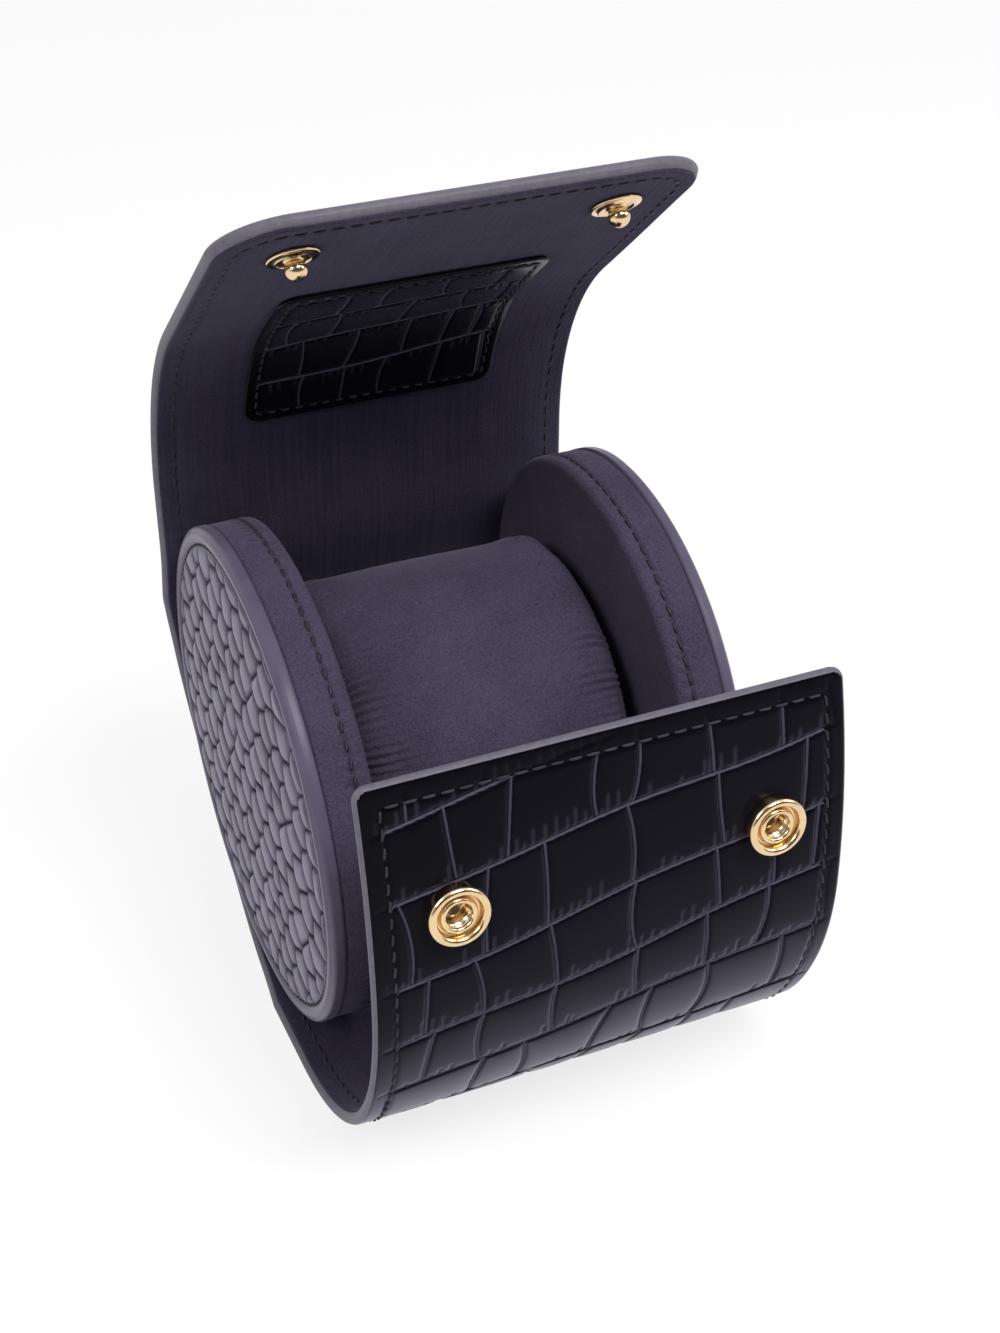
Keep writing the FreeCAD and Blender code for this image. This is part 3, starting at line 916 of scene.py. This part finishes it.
def sewn(name, lines, lay, pitch, length, radius, rise):
    """Stitches along lines: each a thread that rises in an arch, round rings along a short path.
    lay turns (first, second, height) into points and gives the way up there."""
    along, around, slant = 7, 6, 0.12
    shares = np.linspace(-0.5, 0.5, along)
    out = 2 * np.abs(shares)
    turn = np.linspace(0, 2 * math.pi, around, endpoint=False)[:, None]
    height = rise * (1 - out ** 4) - radius * 1.1 * out ** 6
    slim = radius * np.sqrt(np.maximum(1 - out ** 6, 0.05))
    every, tones = [], []
    for line in lines:
        run = run_of(line)
        count = int(run[-1] / pitch)
        at = ((np.arange(count) + 0.5) * run[-1] / count)[:, None] + shares * length
        first, second = (np.interp(at, run, line[:, i]) for i in (0, 1))
        path, up = lay(first, second + slant * length * shares, np.broadcast_to(height, at.shape))
        ahead = np.gradient(path, axis=1)
        ahead /= np.linalg.norm(ahead, axis=-1, keepdims=True)
        across = np.cross(ahead, up)
        ring = np.cos(turn) * across[:, :, None] + np.sin(turn) * up[:, :, None]
        every.append(path[:, :, None] + ring * slim[None, :, None, None])
        tones.append(np.repeat(chance(np.arange(count), run[-1]), along * around))
    points = np.concatenate(every).reshape(-1, 3)
    starts = np.arange(0, len(points), along * around)[:, None]
    caps = np.concatenate([starts + np.array(cap) for cap in end_caps(along, around)])
    quads = (starts[:, :, None] + ring_quads(along, around)).reshape(-1, 4)
    tone = {"tone": np.concatenate(tones)}
    return add_piece(name, points, quads, [sewing_thread()], caps.tolist(), values=tone)


def lay_on_wrap(depth, sign):
    """Lay a seam on the wrap's line at a depth, on its outside or inside."""
    def lay(reach, across, height):
        normal = wrap_line(reach)[2]
        up = np.stack([np.zeros(reach.shape), sign * np.cos(normal), sign * np.sin(normal)], -1)
        return wrap_point(reach, across, depth + sign * height), up
    return lay


def turned(name, profile, centre, axis, finish, steps=96):
    """Spin a line of (radius, height) points about an axis through a centre; a closed line makes a ring."""
    angle = np.linspace(0, 2 * math.pi, steps, endpoint=False)[:, None]
    axis = np.array(axis) / np.linalg.norm(axis)
    first = np.array([1.0, 0.0, 0.0])
    spoke = np.cos(angle) * first + np.sin(angle) * np.cross(axis, first)
    radius, height = (profile[:, i, None, None] for i in (0, 1))
    points = np.array(centre) + radius * spoke + height * axis
    if not np.array_equal(profile[0], profile[-1]):
        return add_tube(name, points, finish)
    quads = ring_quads(len(profile), steps) % ((len(profile) - 1) * steps)
    return add_piece(name, points[:-1], quads, [finish])


def arc(centre, radius, start, finish, count=9):
    """Points of a circle's arc in the (radius, height) plane, from one angle to another in degrees."""
    angle = np.radians(np.linspace(start, finish, count))
    return np.stack([centre[0] + radius * np.cos(angle), centre[1] + radius * np.sin(angle)], 1)


def profile_of(*parts):
    """Join points and lines of points into one profile."""
    return np.concatenate([np.atleast_2d(np.array(part, float)) for part in parts])


class PieceOperator:
    """Shared by the operators: they run on the whole scene."""

    bl_options = {"REGISTER"}


class ROLL_OT_wrap_leather(PieceOperator, bpy.types.Operator):
    """Make the scale-embossed outside of the wrap with its painted edge, one strip over each fold"""

    bl_idname = "watch_roll.wrap_leather"
    bl_label = "Wrap leather"

    depths, edge_round = (0.35, WRAP_DEPTH), 0.95

    def execute(self, context):
        relief = leather_relief(WRAP_SCALES, in_mm("groove_depth"), in_mm("stitch_margin"), 1)
        for strip in STRIPS:
            piece = soft_sheet("wrap_leather_" + strip.name, strip.outline, in_mm("grid_step"), self.depths,
                               self.edge_round, True, relief, [embossed_leather(), edge_paint()])
            blend_over(piece, strip)
            nodes = [kind + panel for panel in strip.panels for kind in ("leather_", "board_")]
            dress(nodes)
        return {"FINISHED"}


class ROLL_OT_wrap_lining(PieceOperator, bpy.types.Operator):
    """Make the suede lining on the inside of the wrap, one strip over each fold"""

    bl_idname = "watch_roll.wrap_lining"
    bl_label = "Wrap lining"

    depths, edge_round, step = (0.0, 0.6), 0.5, 0.75

    def execute(self, context):
        for strip in STRIPS:
            outline = drawn_in(strip.outline, LINING_INSET)
            piece = soft_sheet("wrap_lining_" + strip.name, outline, self.step, self.depths, self.edge_round,
                               False, suede_relief, [lining_suede()])
            blend_over(piece, strip)
            dress(["lining_" + panel for panel in strip.panels])
        return {"FINISHED"}


class ROLL_OT_wrap_seams(PieceOperator, bpy.types.Operator):
    """Sew the thread round the edge of the wrap, on its outside and its inside"""

    bl_idname = "watch_roll.wrap_seams"
    bl_label = "Wrap seams"

    faces = (("outside", WRAP_DEPTH - 0.1, 1, 0.16), ("inside", 0.1, -1, 0.06))

    def execute(self, context):
        pitch, length, radius = (in_mm(name) for name in ("stitch_pitch", "stitch_length", "thread_radius"))
        for strip in STRIPS:
            lines = seam_line(strip.outline, in_mm("stitch_margin"))
            for face, depth, way, rise in self.faces:
                name = "wrap_seam_" + face + "_" + strip.name
                blend_over(sewn(name, lines, lay_on_wrap(depth, way), pitch, length, radius, rise), strip)
        return {"FINISHED"}


class ROLL_OT_padded_ends(PieceOperator, bpy.types.Operator):
    """Make the two oval ends: leather face, suede drum and their seams"""

    bl_idname = "watch_roll.padded_ends"
    bl_label = "Padded ends"

    face_steps, drum_steps, deepest = 640, 900, 26.0
    face_seam, face_round, channel_depth, channel_width = 2.95, 0.7, 0.34, 0.3
    scale_lean, scale_depth, scales_from, scales_over = math.radians(-24), 0.75, 3.2, 0.8
    dome_height, bead_height, bead_middle, bead_half = 0.45, 0.34, 1.45, 1.3
    drum_round, drum_pinch, rim_pinch, drum_slack = 1.3, 0.42, 0.35, 0.16
    puckers, pucker_share, seam_sink, stitch_rise = 131, 0.0034, 0.22, 0.14

    def execute(self, context):
        for side, sign in SIDES:
            self.leather_face(side, sign)
            self.suede_drum(side, sign)
            self.seams(side, sign)
        return {"FINISHED"}

    def rings(self, profile, count):
        """Ovals for a profile of (place along X, inset); past the deepest inset they shrink to the middle."""
        angle = np.linspace(0, 2 * math.pi, count, endpoint=False) + math.radians(OVAL_TILT)
        place, inset = np.array(profile).T[..., None]
        y, z = oval(angle[None, :], np.minimum(inset, self.deepest))
        shrink = np.clip((OVAL_SHORT - inset) / (OVAL_SHORT - self.deepest), 0.004, 1)
        return np.broadcast_to(place, y.shape), y * shrink, z * shrink

    def leather_face(self, side, sign):
        """Flat oval with a low dome, a smooth rim, a sewn channel and small slanted scales inside it."""
        step, edge = in_mm("grid_step") * 1.25, self.face_round
        rim = arc((-edge, FACE_OUT - edge), edge, 0, 90, 7)
        under = [(FACE_IN, inset) for inset in (OVAL_SHORT, 20.0, 8.0, 2.0)]
        under += [(FACE_IN, 0.0), (FACE_IN + 0.5, 0.0)] + [(height, -radius) for radius, height in rim]
        profile = under + [(FACE_OUT, inset) for inset in np.arange(edge + step, OVAL_SHORT, step)]
        x, y, z = self.rings(profile, self.face_steps)
        inset = np.array(profile)[:, 1:]
        on_top = (np.arange(len(profile)) >= len(under))[:, None]
        cos, sin = math.cos(self.scale_lean), math.sin(self.scale_lean)
        height, groove, tone = END_SCALES.relief(z * cos - y * sin, y * cos + z * sin, self.scale_depth)
        inside = np.clip((inset - self.scales_from) / self.scales_over, 0, 1) * on_top
        channel = bell(inset - self.face_seam, self.channel_width) * on_top
        dome = self.dome_height * (1 - np.clip(1 - inset / OVAL_SHORT, 0, 1) ** 2) * on_top
        bead = np.clip(1 - ((inset - self.bead_middle) / self.bead_half) ** 2, 0, 1)
        bead = self.bead_height * bead * on_top
        x = sign * (x + dome + bead + height * inside - self.channel_depth * channel)
        # The groove share paints shade into the gaps and the sewn channel.
        values = {"groove": np.maximum(groove * inside, 0.8 * channel), "tone": tone * inside}
        piece = add_tube("end_leather_" + side, np.stack([x, y, z], -1), end_leather(), values)
        ride_on(piece, "roll", ["end_face_" + side])

    def suede_drum(self, side, sign):
        """Suede band with a soft crown, a seam across it and a rounded inner edge, then the inner face."""
        edge = self.drum_round
        band = np.linspace(FACE_IN, SKIN_IN + edge, 46)
        pinch = self.drum_pinch * bell(band - DRUM_SEAM, 0.32) + self.rim_pinch * bell(band - FACE_IN, 0.45)
        slack = self.drum_slack * np.cos((band - DRUM_SEAM) / (FACE_IN - DRUM_SEAM) * math.pi)
        outside = [(FACE_IN, OVAL_SHORT), (FACE_IN, 12.0)]
        rows = list(zip(band, 0.1 + pinch + np.maximum(slack, 0) * 0.4))
        corner = arc((-edge - 0.1, SKIN_IN + edge), edge, 0, -90, 8)
        rows += [(place, -radius) for radius, place in corner[1:]]
        rows += [(SKIN_IN, inset) for inset in np.arange(2.4, OVAL_SHORT, 1.5)]
        x, y, z = self.rings(outside + rows, self.drum_steps)
        angle = np.linspace(0, 2 * math.pi, self.drum_steps, endpoint=False)
        row = np.arange(len(x))[:, None] - len(outside)
        on_band = (row >= 0) & (row < len(band))
        away = x - DRUM_SEAM
        pucker = bell(np.maximum(np.abs(away) - 0.6, 0), 1.3) * (1 - bell(away, 0.3))
        wave = np.sin(angle * self.puckers + 0.8 * np.sin(angle * 5))
        ripple = 1 - self.pucker_share * pucker * wave * on_band
        piece = add_tube("end_drum_" + side, np.stack([sign * x, y * ripple, z * ripple], -1), drum_suede())
        ride_on(piece, "roll", ["end_band_" + side, "end_skin_" + side])

    def seams(self, side, sign):
        """Thread round the face, and thread round the drum along its own seam."""
        radius = in_mm("thread_radius")
        angle = np.linspace(0, 2 * math.pi, 721) + math.radians(OVAL_TILT)
        mean = (OVAL_TIP + OVAL_SIDE) / 2

        def on_face(run, inset, height):
            y, z = oval(run / mean, inset)
            up = np.broadcast_to(np.array([sign, 0.0, 0.0]), run.shape + (3,))
            return np.stack([sign * (FACE_OUT - self.seam_sink + height), y, z], -1), up

        def on_drum(run, shift, height):
            turn = run / mean
            y, z = oval(turn, self.drum_pinch - height)
            up = np.stack([np.zeros(turn.shape), np.cos(turn), np.sin(turn)], -1)
            return np.stack([sign * (DRUM_SEAM + shift), y, z], -1), up

        for kind, lay, second, pitch, length, thread in (
            ("face", on_face, self.face_seam, 2.3, 1.8, radius * 0.9),
            ("drum", on_drum, 0.0, 2.5, 1.9, radius),
        ):
            line = np.stack([angle * mean, np.full(angle.shape, second)], 1)
            name = "end_" + kind + "_seam_" + side
            ride_on(sewn(name, [line], lay, pitch, length, thread, self.stitch_rise), "roll")


class ROLL_OT_cushion(PieceOperator, bpy.types.Operator):
    """Make the suede cushion: a crowned roll swollen by a cloth simulation, gathered at both ends"""

    bl_idname = "watch_roll.cushion"
    bl_label = "Cushion"

    frames, swell_scale, most = 20, 10.0, 0.9
    around, slack_inset, end_shrink = 160, 0.35, (0.02, 0.2, 0.45, 0.72)
    gathers, gather_from, gather_fade, slow_height = 104, 3.5, 5.6, 0.125
    end_profile = ((0.0, 15.0), (0.0, 9.0), (0.4, 6.2), (1.3, 4.0), (2.8, 2.3), (4.8, 1.3))
    body_from, body_rows = 7.2, 16

    def execute(self, context):
        points = self.slack_cover()
        moved = self.swollen(context, points) - points
        away = np.linalg.norm(moved, axis=-1, keepdims=True)
        points = points + moved * np.minimum(1, self.most / np.maximum(away, 1e-9))
        points = self.gathered(self.finer(self.finer(self.with_ends(points))))
        piece = add_tube("cushion", points, drum_suede())
        ride_on(piece, "cushion", ["cushion_cover", "cushion_foam"])
        return {"FINISHED"}

    def slack_cover(self):
        """Ovals along X whose inset grows towards the ends: a slightly small roll before it swells."""
        half = CUSHION_HALF - self.slack_inset
        ends = [(half - inward, drop) for inward, drop in self.end_profile]
        places = np.linspace(half - self.body_from, -half + self.body_from, self.body_rows)
        body = [(place, 0.9 + 0.5 * (place / half) ** 2) for place in places]
        profile = ends + body + [(-place, drop) for place, drop in ends[::-1]]
        place, drop = np.array(profile).T[..., None]
        angle = np.linspace(0, 2 * math.pi, self.around, endpoint=False)
        y, z = oval(angle[None, :], CUSHION_INSET + drop)
        return np.stack([np.broadcast_to(place, y.shape), y, z], -1)

    def swollen(self, context, points):
        """Run the cloth under pressure, without gravity, held at its end rings; gives back its points."""
        rows, count = points.shape[:2]
        mesh = bpy.data.meshes.new("cushion_slack")
        faces = ring_quads(rows, count).tolist() + [list(cap) for cap in end_caps(rows, count)]
        mesh.from_pydata((points.reshape(-1, 3) * MM * self.swell_scale).tolist(), [], faces)
        pad = bpy.data.objects.new("cushion_slack", mesh)
        context.scene.collection.objects.link(pad)
        held = pad.vertex_groups.new(name="held")
        held.add([*range(count), *range((rows - 1) * count, rows * count)], 1.0, "REPLACE")
        cloth = pad.modifiers.new("swell", "CLOTH")
        settings = cloth.settings
        settings.quality = 5
        settings.vertex_group_mass = "held"
        settings.tension_stiffness = settings.compression_stiffness = 12
        settings.bending_stiffness = 0.4
        settings.use_pressure = True
        settings.uniform_pressure_force = 4
        settings.shrink_min = -0.02
        settings.effector_weights.gravity = 0
        cloth.point_cache.frame_end = self.frames
        for step in range(1, self.frames + 1):
            context.scene.frame_set(step)
        solved = pad.evaluated_get(context.evaluated_depsgraph_get()).data
        places = np.empty(points.size)
        solved.vertices.foreach_get("co", places)
        bpy.data.objects.remove(pad)
        context.scene.frame_set(1)
        return places.reshape(points.shape) / MM / self.swell_scale

    def with_ends(self, points):
        """Add rings that shrink to the middle of each end."""
        shrink = np.array(self.end_shrink)[:, None, None]
        first, last = (ring.mean(0) + shrink * (ring - ring.mean(0)) for ring in (points[0], points[-1]))
        return np.concatenate([first, points, last[::-1]])

    @staticmethod
    def finer(points):
        """One round of cubic subdivision: old points take (1, 6, 1) / 8 of their neighbours and themselves,
        new ones lie halfway."""
        after = np.roll(points, -1, 1)
        ring = np.stack([(np.roll(points, 1, 1) + 6 * points + after) / 8, (points + after) / 2], 2)
        ring = ring.reshape(len(points), -1, 3)
        fine = np.empty((2 * len(ring) - 1, *ring.shape[1:]))
        fine[::2], fine[1::2] = ring, (ring[:-1] + ring[1:]) / 2
        fine[2:-2:2] = (ring[:-2] + 6 * ring[1:-1] + ring[2:]) / 8
        return fine

    def gathered(self, places):
        """Gathers that run in from both ends: a ripple round the roll that dies away along it."""
        x, y, z = np.moveaxis(places, -1, 0)
        angle = np.arctan2(z, y)
        inward = CUSHION_HALF - np.abs(x)
        end = np.clip(inward / 1.2, 0, 1) * bell(np.maximum(inward - self.gather_from, 0), self.gather_fade)
        ripple = np.sin(self.gathers * angle + 1.3 * np.sin(7 * angle) + np.sign(x) * 0.8)
        uneven = 0.6 + 0.4 * np.sin(13 * angle + 2.1 * np.sin(5 * angle + np.sign(x)))
        height = in_mm("gather_height") * ripple * uneven * end
        slow = self.slow_height * np.sin(3 * angle + x / 9) * bell(x, 20)
        grow = 1 + (height + slow) / np.maximum(np.hypot(y, z), 1)
        return np.stack([x, y * grow, z * grow], -1)


class ROLL_OT_patch(PieceOperator, bpy.types.Operator):
    """Make the bare leather patch on the inside of the flap and the thread round it"""

    bl_idname = "watch_roll.patch"
    bl_label = "Flap patch"

    depths, edge_round, margin = (-0.8, 0.0), 0.4, 1.9
    seam_depth, pitch, length, rise = -0.7, 2.4, 1.8, 0.14

    def execute(self, context):
        # -1 puts the patch's painted highlights on the other side of its row seams, which face down.
        relief = leather_relief(PATCH_SCALES, in_mm("groove_depth") * 0.8, self.margin, -1)
        piece = soft_sheet("flap_patch_leather", PATCH_OUTLINE, in_mm("grid_step"), self.depths,
                           self.edge_round, False, relief, [patch_leather()])
        ride_on(piece, "flap", ["flap_patch"])
        lines, lay = seam_line(PATCH_OUTLINE, self.margin), lay_on_wrap(self.seam_depth, -1)
        radius = in_mm("thread_radius") * 0.9
        ride_on(sewn("flap_patch_seam", lines, lay, self.pitch, self.length, radius, self.rise), "flap")
        return {"FINISHED"}


class ROLL_OT_snaps(PieceOperator, bpy.types.Operator):
    """Turn the ring sockets on the lip and the ball studs and caps on the flap tip"""

    bl_idname = "watch_roll.snaps"
    bl_label = "Snaps"

    seat = 0.05

    def execute(self, context):
        for side, sign in SIDES:
            for node, profile, reach, body, out in (
                ("socket_", self.socket(), SOCKET_PLACE, "lip", True),
                ("socket_rivet_", self.washer(), SOCKET_PLACE, "lip", False),
                ("stud_", self.stud(), STUD_PLACE, "tip", False),
                ("stud_cap_", self.cap(), STUD_PLACE, "tip", True),
            ):
                centre, axis = self.spot(reach, sign * SNAP_HALF, out)
                piece = turned("snap_" + node + side, profile, centre, axis, snap_gold())
                ride_on(piece, body, [node + side])
            refinish("socket_spring_" + side, spring_wire())
        return {"FINISHED"}

    def spot(self, reach, x, out):
        """Seat on the leather or on the lining, and the way up from it."""
        y, z, normal = (value[0] for value in wrap_line(np.array([reach])))
        axis = np.array([0.0, math.cos(normal), math.sin(normal)])
        depth = WRAP_DEPTH + self.seat if out else -self.seat
        return np.array([x, y, z]) + depth * axis, axis if out else -axis

    @staticmethod
    def socket():
        """Round outer bead, dished floor, inner collar and a bore with a spring groove and a bottom."""
        return profile_of(
            (TINY, -2.4), (2.35, -2.4), (2.35, -0.02), (4.55, -0.02), arc((4.45, 0.3), 0.3, -70, 0, 5),
            (4.75, 1.2), arc((4.1, 1.75), 0.65, 0, 180, 17), arc((3.2, 1.1), 0.25, 0, -90, 5),
            (2.98, 0.78), arc((2.45, 1.45), 0.45, 0, 180, 13), (2.0, 1.4),
            (2.5, 1.35), (2.5, 0.6), (2.0, 0.55), arc((1.65, -1.2), 0.35, 0, -90, 5), (TINY, -1.55))

    @staticmethod
    def washer():
        """Low rolled ring on the lining."""
        return profile_of(
            (2.0, 0.0), (4.1, 0.0), arc((4.1, 0.3), 0.3, -90, 60, 9), (3.2, 0.58), (2.4, 0.45), (2.0, 0.5),
            (2.0, 0.0))

    @staticmethod
    def stud():
        """Domed flange, dished ring, slim neck and a ball."""
        return profile_of(
            (TINY, 0.0), (3.7, 0.0), arc((3.7, 0.3), 0.3, -90, 90, 9), (3.2, 0.62),
            arc((2.75, 0.72), 0.22, 60, 150, 7), (2.1, 0.55), (1.7, 0.62), (1.32, 0.95), (1.25, 1.05),
            arc((0.0, 2.0), 1.7, -38, 89.9, 20))

    @staticmethod
    def cap():
        """Low dome with a rolled rim on the leather."""
        radius = np.linspace(4.45, TINY, 14)
        dome = np.stack([radius, 0.5 + 0.8 * (1 - (radius / 4.5) ** 2)], 1)
        return profile_of((TINY, -0.02), (4.2, -0.02), arc((4.6, 0.3), 0.3, -90, 70, 9), dome)


class ROLL_OT_hidden_cores(PieceOperator, bpy.types.Operator):
    """Give the hidden board cores of the ends their fibre finish"""

    bl_idname = "watch_roll.hidden_cores"
    bl_label = "Hidden cores"

    def execute(self, context):
        for side, sign in SIDES:
            refinish("end_core_" + side, fibre_board())
        return {"FINISHED"}


class ROLL_OT_stage(PieceOperator, bpy.types.Operator):
    """Lay a pale floor, set soft lamps and place the camera"""

    bl_idname = "watch_roll.stage"
    bl_label = "Stage"

    floor_rings, floor_steps, floor_level = (0.0001, 0.1, 0.3, 0.8, 2.0, 6.0), 64, -0.0002
    floor_white, room_most, room_least = 0.8, 0.6, 0.1
    aim, lamp_tint = (0, 0, 0.06), (1.0, 0.98, 1.0)
    lamp_kinds = (
        ("key", (-0.75, -0.3, 0.7), 0.4, 0.8),
        ("fill", (0.8, -0.3, 0.6), 0.5, 0.5),
        ("top", (0.2, -0.55, 0.98), 0.45, 2.0),
    )
    azimuth, fall = math.radians(23.459), math.radians(33.612)
    shift_right, shift_up, distance = 8.363, 9.862, 353.477

    def execute(self, context):
        self.floor(context)
        self.sky(context)
        self.lamps(context)
        self.camera(context)
        context.scene.view_settings.view_transform = "Standard"
        return {"FINISHED"}

    def floor(self, context):
        """Round floor: rings that widen away from the middle; partly white where it is seen."""
        radius = np.array(self.floor_rings)[:, None]
        angle = np.linspace(0, 2 * math.pi, self.floor_steps, endpoint=False)
        x, y = radius * np.cos(angle), radius * np.sin(angle)
        points = np.stack([x, y, np.full(x.shape, self.floor_level)], -1)
        mesh = bpy.data.meshes.new("floor")
        mesh.from_pydata(points.reshape(-1, 3).tolist(), [], ring_quads(*x.shape).tolist())
        finish = Finish(bpy.data.materials.new("pale_floor"))
        pale = context.scene.watch_roll_stage.floor_colour
        tone = finish.mix(finish.noise(finish.coords(), 6.0), times(pale, 0.985), times(pale, 1.0))
        lit = finish.node("ShaderNodeBsdfDiffuse", {"Color": tone})
        white = finish.node("ShaderNodeEmission", {"Color": (1, 1, 1, 1), "Strength": 1.0})
        shown = finish.either(seen_share(finish, 1.0) * self.floor_white, lit, white)
        mesh.materials.append(finish.close(shown))
        floor = bpy.data.objects.new("floor", mesh)
        context.scene.collection.objects.link(floor)

    def sky(self, context):
        """White where it is seen; to every other ray a pale room that is dimmer in front."""
        context.scene.world = bpy.data.worlds.new("room")
        finish = Finish(context.scene.world)
        way = finish.node("ShaderNodeSeparateXYZ", {0: finish.coords("Generated")}, output="Y")
        back = finish.node("ShaderNodeMapRange", {
            "Value": way, "From Min": -0.8, "From Max": 0.4, "To Min": 0.0, "To Max": 1.0,
        }, interpolation_type="SMOOTHSTEP")
        power = back * self.room_most + self.room_least
        room = finish.node("ShaderNodeBackground", {"Color": (0.97, 0.97, 1.0, 1), "Strength": power})
        white = finish.node("ShaderNodeBackground", {"Color": (1, 1, 1, 1), "Strength": 1.0})
        finish.close(finish.either(seen_share(finish, back), room, white), "ShaderNodeOutputWorld")

    def lamps(self, context):
        """Three soft area lamps that look at the roll: from the left, from the right and from above."""
        power = context.scene.watch_roll_stage.key_power
        for name, place, width, share in self.lamp_kinds:
            lamp = bpy.data.lights.new(name, "AREA")
            lamp.size, lamp.energy, lamp.color = width, power * share, self.lamp_tint
            shown = bpy.data.objects.new(name, lamp)
            shown.location = place
            shown.rotation_mode = "QUATERNION"
            shown.rotation_quaternion = (Vector(self.aim) - Vector(place)).to_track_quat("-Z", "Y")
            context.scene.collection.objects.link(shown)

    def camera(self, context):
        """Look along an azimuth and a fall, from a stand-off behind the roll's middle."""
        cos, sin = math.cos(self.azimuth), math.sin(self.azimuth)
        ahead = np.array([sin * math.cos(self.fall), cos * math.cos(self.fall), -math.sin(self.fall)])
        right = np.array([cos, -sin, 0.0])
        up = np.cross(right, ahead)
        spot = -ahead * self.distance + right * self.shift_right + up * self.shift_up
        lens = bpy.data.cameras.new("camera")
        lens.lens = context.scene.watch_roll_stage.lens
        lens.clip_start, lens.clip_end = 0.01, 50.0
        view = bpy.data.objects.new("camera", lens)
        turn = Matrix(np.stack([right, up, -ahead], 1).tolist()).to_4x4()
        view.matrix_world = Matrix.Translation(Vector(spot * MM + ROLL_MIDDLE)) @ turn
        context.scene.collection.objects.link(view)
        context.scene.camera = view


PIECE_OPERATORS = (
    ROLL_OT_wrap_leather, ROLL_OT_wrap_lining, ROLL_OT_wrap_seams, ROLL_OT_padded_ends, ROLL_OT_cushion,
    ROLL_OT_patch, ROLL_OT_snaps, ROLL_OT_hidden_cores, ROLL_OT_stage,
)


class ROLL_PT_panel(bpy.types.Panel):
    """Lists the pieces of the watch roll and their settings"""

    bl_idname = "ROLL_PT_panel"
    bl_label = "Watch Roll"
    bl_space_type = "VIEW_3D"
    bl_region_type = "UI"
    bl_category = "Watch Roll"

    def draw(self, context):
        for name, group in GROUPS:
            box = self.layout.box()
            for key in group.__annotations__:
                box.prop(getattr(context.scene, name), key)
        for operator in PIECE_OPERATORS:
            self.layout.operator(operator.bl_idname)


GROUPS = (
    ("watch_roll_sizes", RollSizes), ("watch_roll_colours", RollColours), ("watch_roll_stage", StageSettings),
)


def register():
    for name, group in GROUPS:
        bpy.utils.register_class(group)
        setattr(bpy.types.Scene, name, bpy.props.PointerProperty(type=group))
    for made in (*PIECE_OPERATORS, ROLL_PT_panel):
        bpy.utils.register_class(made)


def unregister():
    for made in (ROLL_PT_panel, *reversed(PIECE_OPERATORS)):
        bpy.utils.unregister_class(made)
    for name, group in reversed(GROUPS):
        delattr(bpy.types.Scene, name)
        bpy.utils.unregister_class(group)


def main():
    register()
    for operator in PIECE_OPERATORS:
        family, verb = operator.bl_idname.split(".")
        getattr(getattr(bpy.ops, family), verb)()


if __name__ == "__main__":
    main()
